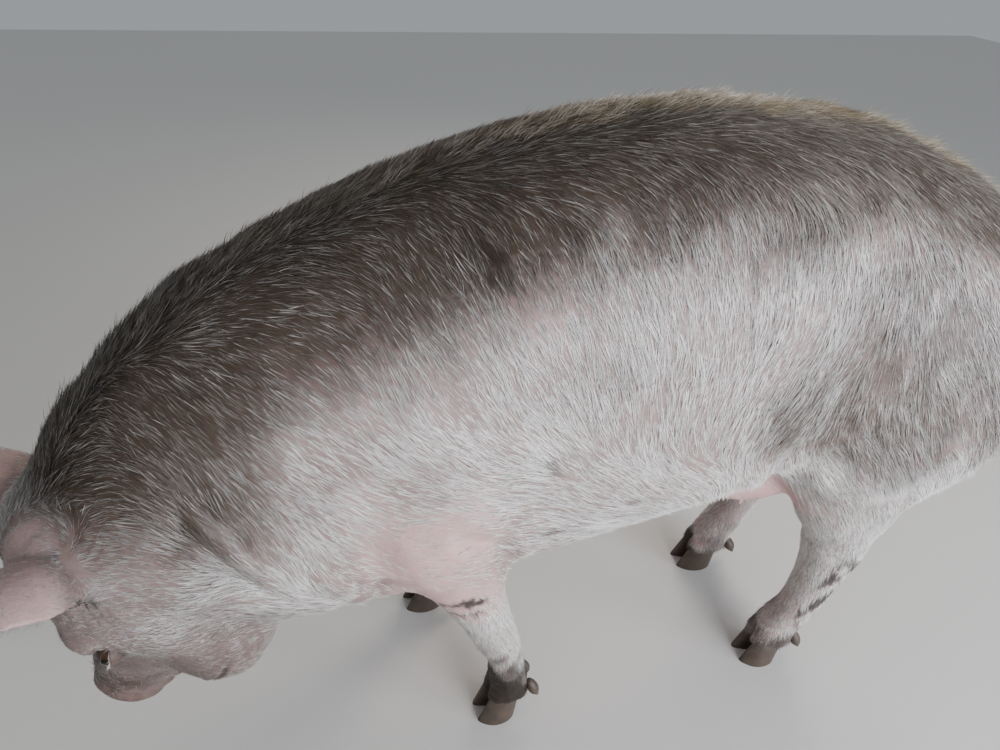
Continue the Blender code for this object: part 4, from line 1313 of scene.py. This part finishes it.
marks[:, 0] *= 0.40 + 0.40 * rise(-0.15, -0.45, x)
shades = np.clip(0.95 + 0.26 * rng.normal(size=RIDGE_BRISTLES), 0.4, 1.4)
add_coat("coat_ridge", roots, way, root_out, lengths,
         RIDGE_WIDTH * rng.uniform(0.6, 1.2, RIDGE_BRISTLES),
         rng.uniform(0.15, 0.45, RIDGE_BRISTLES), marks, shades, chart_of(places, "body"))

# White lashes stand along the lids, whiskers on muzzle, chin and brow, and a fringe
# along the rims of the ears.
LASH_WIDTH = 0.00034
FRINGE_LENGTH = 0.0115
FRINGE_WIDTH = 0.00036
strands = []                            # root, way, out, length, width and curl of each
for name in EARS:
    middle, out, along, brow = eye_axes(name)
    for lid, opening, count, long in ((1.0, UPPER_LID, 60, 0.0125), (-1.0, LOWER_LID, 26, 0.006)):
        for share in np.linspace(-0.92, 0.92, count) + rng.normal(0.0, 0.01, count):
            a = share * SLIT_HALF_LENGTH
            b = lid * (slit_edge(a, opening) + 0.0004)
            c = math.sqrt((EYE_RADIUS + LID_THICKNESS - 0.0006) ** 2 - a * a - b * b)
            place = middle + along * a + brow * b + out * c
            way = out * 0.80 + brow * lid * 0.12 + along * (0.50 * share)
            way = unit(way + rng.normal(0.0, 0.16, 3))
            strands.append((*place, *way, *(brow * lid + out * 0.2), long * rng.uniform(0.5, 1.1),
                            LASH_WIDTH, rng.uniform(-0.40, 0.05)))
    edge = np.array(EAR_ROWS)
    for t in (-1.0, 1.0):
        for share in rng.uniform(0.25, 0.99, 330 if fine else 80):
            row = [np.interp(share, edge[:, 0], edge[:, k]) for k in (1, 2, 3)]
            rim = np.array(ear_point(name, share, *row, t, 0.0))
            core = np.array(ear_point(name, share, *row, t * 0.8, 0.0))
            way = unit(rim - core) * 0.75 + np.array(ear_axes(name)[1]) * 0.75
            way = unit(way + rng.normal(0.0, 0.16, 3))
            way = turned(way[None], rim[:1])[0]
            strands.append((*to_frame(rim)[0], *way, 0.0, 0.0, 1.0,
                            FRINGE_LENGTH * rng.uniform(0.4, 1.2), FRINGE_WIDTH,
                            rng.uniform(0.0, 0.25)))
z = centres[:, 2]
share = rise(0.215, 0.180, z) + 0.12 * rise(0.40, 0.33, z)
share = share * areas * head_weight(centres) * rise(0.120, 0.135, z)
for pick in rng.choice(len(corners), size=170 if fine else 60, p=share / share.sum()):
    place = surface[corners[pick]].mean(0)
    straight_place = to_straight(place)
    way = turned(lie_at(straight_place), straight_place[:, 0])[0]
    way = unit(way + facing[pick] * 1.1 + rng.normal(0.0, 0.15, 3))
    strands.append((*(place - facing[pick] * BURIED), *way, *facing[pick],
                    rng.uniform(0.012, 0.028), LASH_WIDTH, rng.uniform(0.1, 0.4)))
strands = np.array(strands)
roots, ways, outs = (strands[:, i:i + 3] for i in (0, 3, 6))
add_coat("coat_lashes", roots, ways, outs, *strands[:, 9:].T,
         np.tile((0.05, 0.0, 0.08, 0.0), (len(roots), 1)),
         rng.uniform(0.85, 1.15, len(roots)), chart_of(to_straight(roots), "head"))

# ---- camera ------------------------------------------------------------------------
# It hangs 1.07 m up and 0.6 m off her left shoulder, and looks down across her and a
# little towards the rump. Heading, dip and roll are in radians.
CAMERA_AT = (-0.2983, -0.8080, 1.0675)
HEADING, DIP, ROLL = 0.2638, 0.5588, 0.0505
camera_data = bpy.data.cameras.new("camera")
camera_data.lens = 28.5
camera_data.sensor_width = 36.0
camera = new_object("camera", camera_data)
camera.matrix_world = (Matrix.Translation(CAMERA_AT) @ Matrix.Rotation(-HEADING, 4, "Z")
                       @ Matrix.Rotation(math.pi / 2 - DIP, 4, "X")
                       @ Matrix.Rotation(ROLL, 4, "Z"))
bpy.context.scene.camera = camera

# ---- studio ------------------------------------------------------------------
# A pale floor in a dim even room. A large soft light falls on her left flank, a weaker
# one comes from her left and rear, and one above her right catches the ridge bristles.
world = bpy.data.worlds.new("studio")
world.use_nodes = True
background = world.node_tree.nodes["Background"]
background.inputs["Color"].default_value = linear("#D9DEE4")
background.inputs["Strength"].default_value = 0.50
bpy.context.scene.world = world


def soft_light(name, place, target, size, power, colour):
    """A square lamp that faces its target."""
    data = bpy.data.lights.new(name, "AREA")
    data.energy = power
    data.size = size
    data.color = linear(colour)[:3]
    lamp = new_object(name, data)
    turn = (Vector(place) - Vector(target)).to_track_quat("Z", "Y")
    lamp.matrix_world = Matrix.Translation(place) @ turn.to_matrix().to_4x4()


soft_light("front", (0.95, -2.35, 0.95), (0.05, -0.1, 0.50), 1.3, 80.0, "#F6F8FF")
soft_light("side", (1.90, -1.50, 0.75), (0.25, 0.0, 0.35), 0.9, 26.0, "#E9F1FF")
soft_light("behind", (1.30, 1.70, 1.90), (0.2, 0.1, 0.70), 0.9, 26.0, "#FFF1E0")

bm = bmesh.new()
bmesh.ops.create_grid(bm, x_segments=1, y_segments=1, size=6)
floor = smooth_object("floor", bm)
# matt paint: an even pale grey that only takes her shadow
floor.data.materials.append(
    new_material("matt_paint", {"Base Color": linear("#D8D7D3"), "Roughness": 0.8})[0])
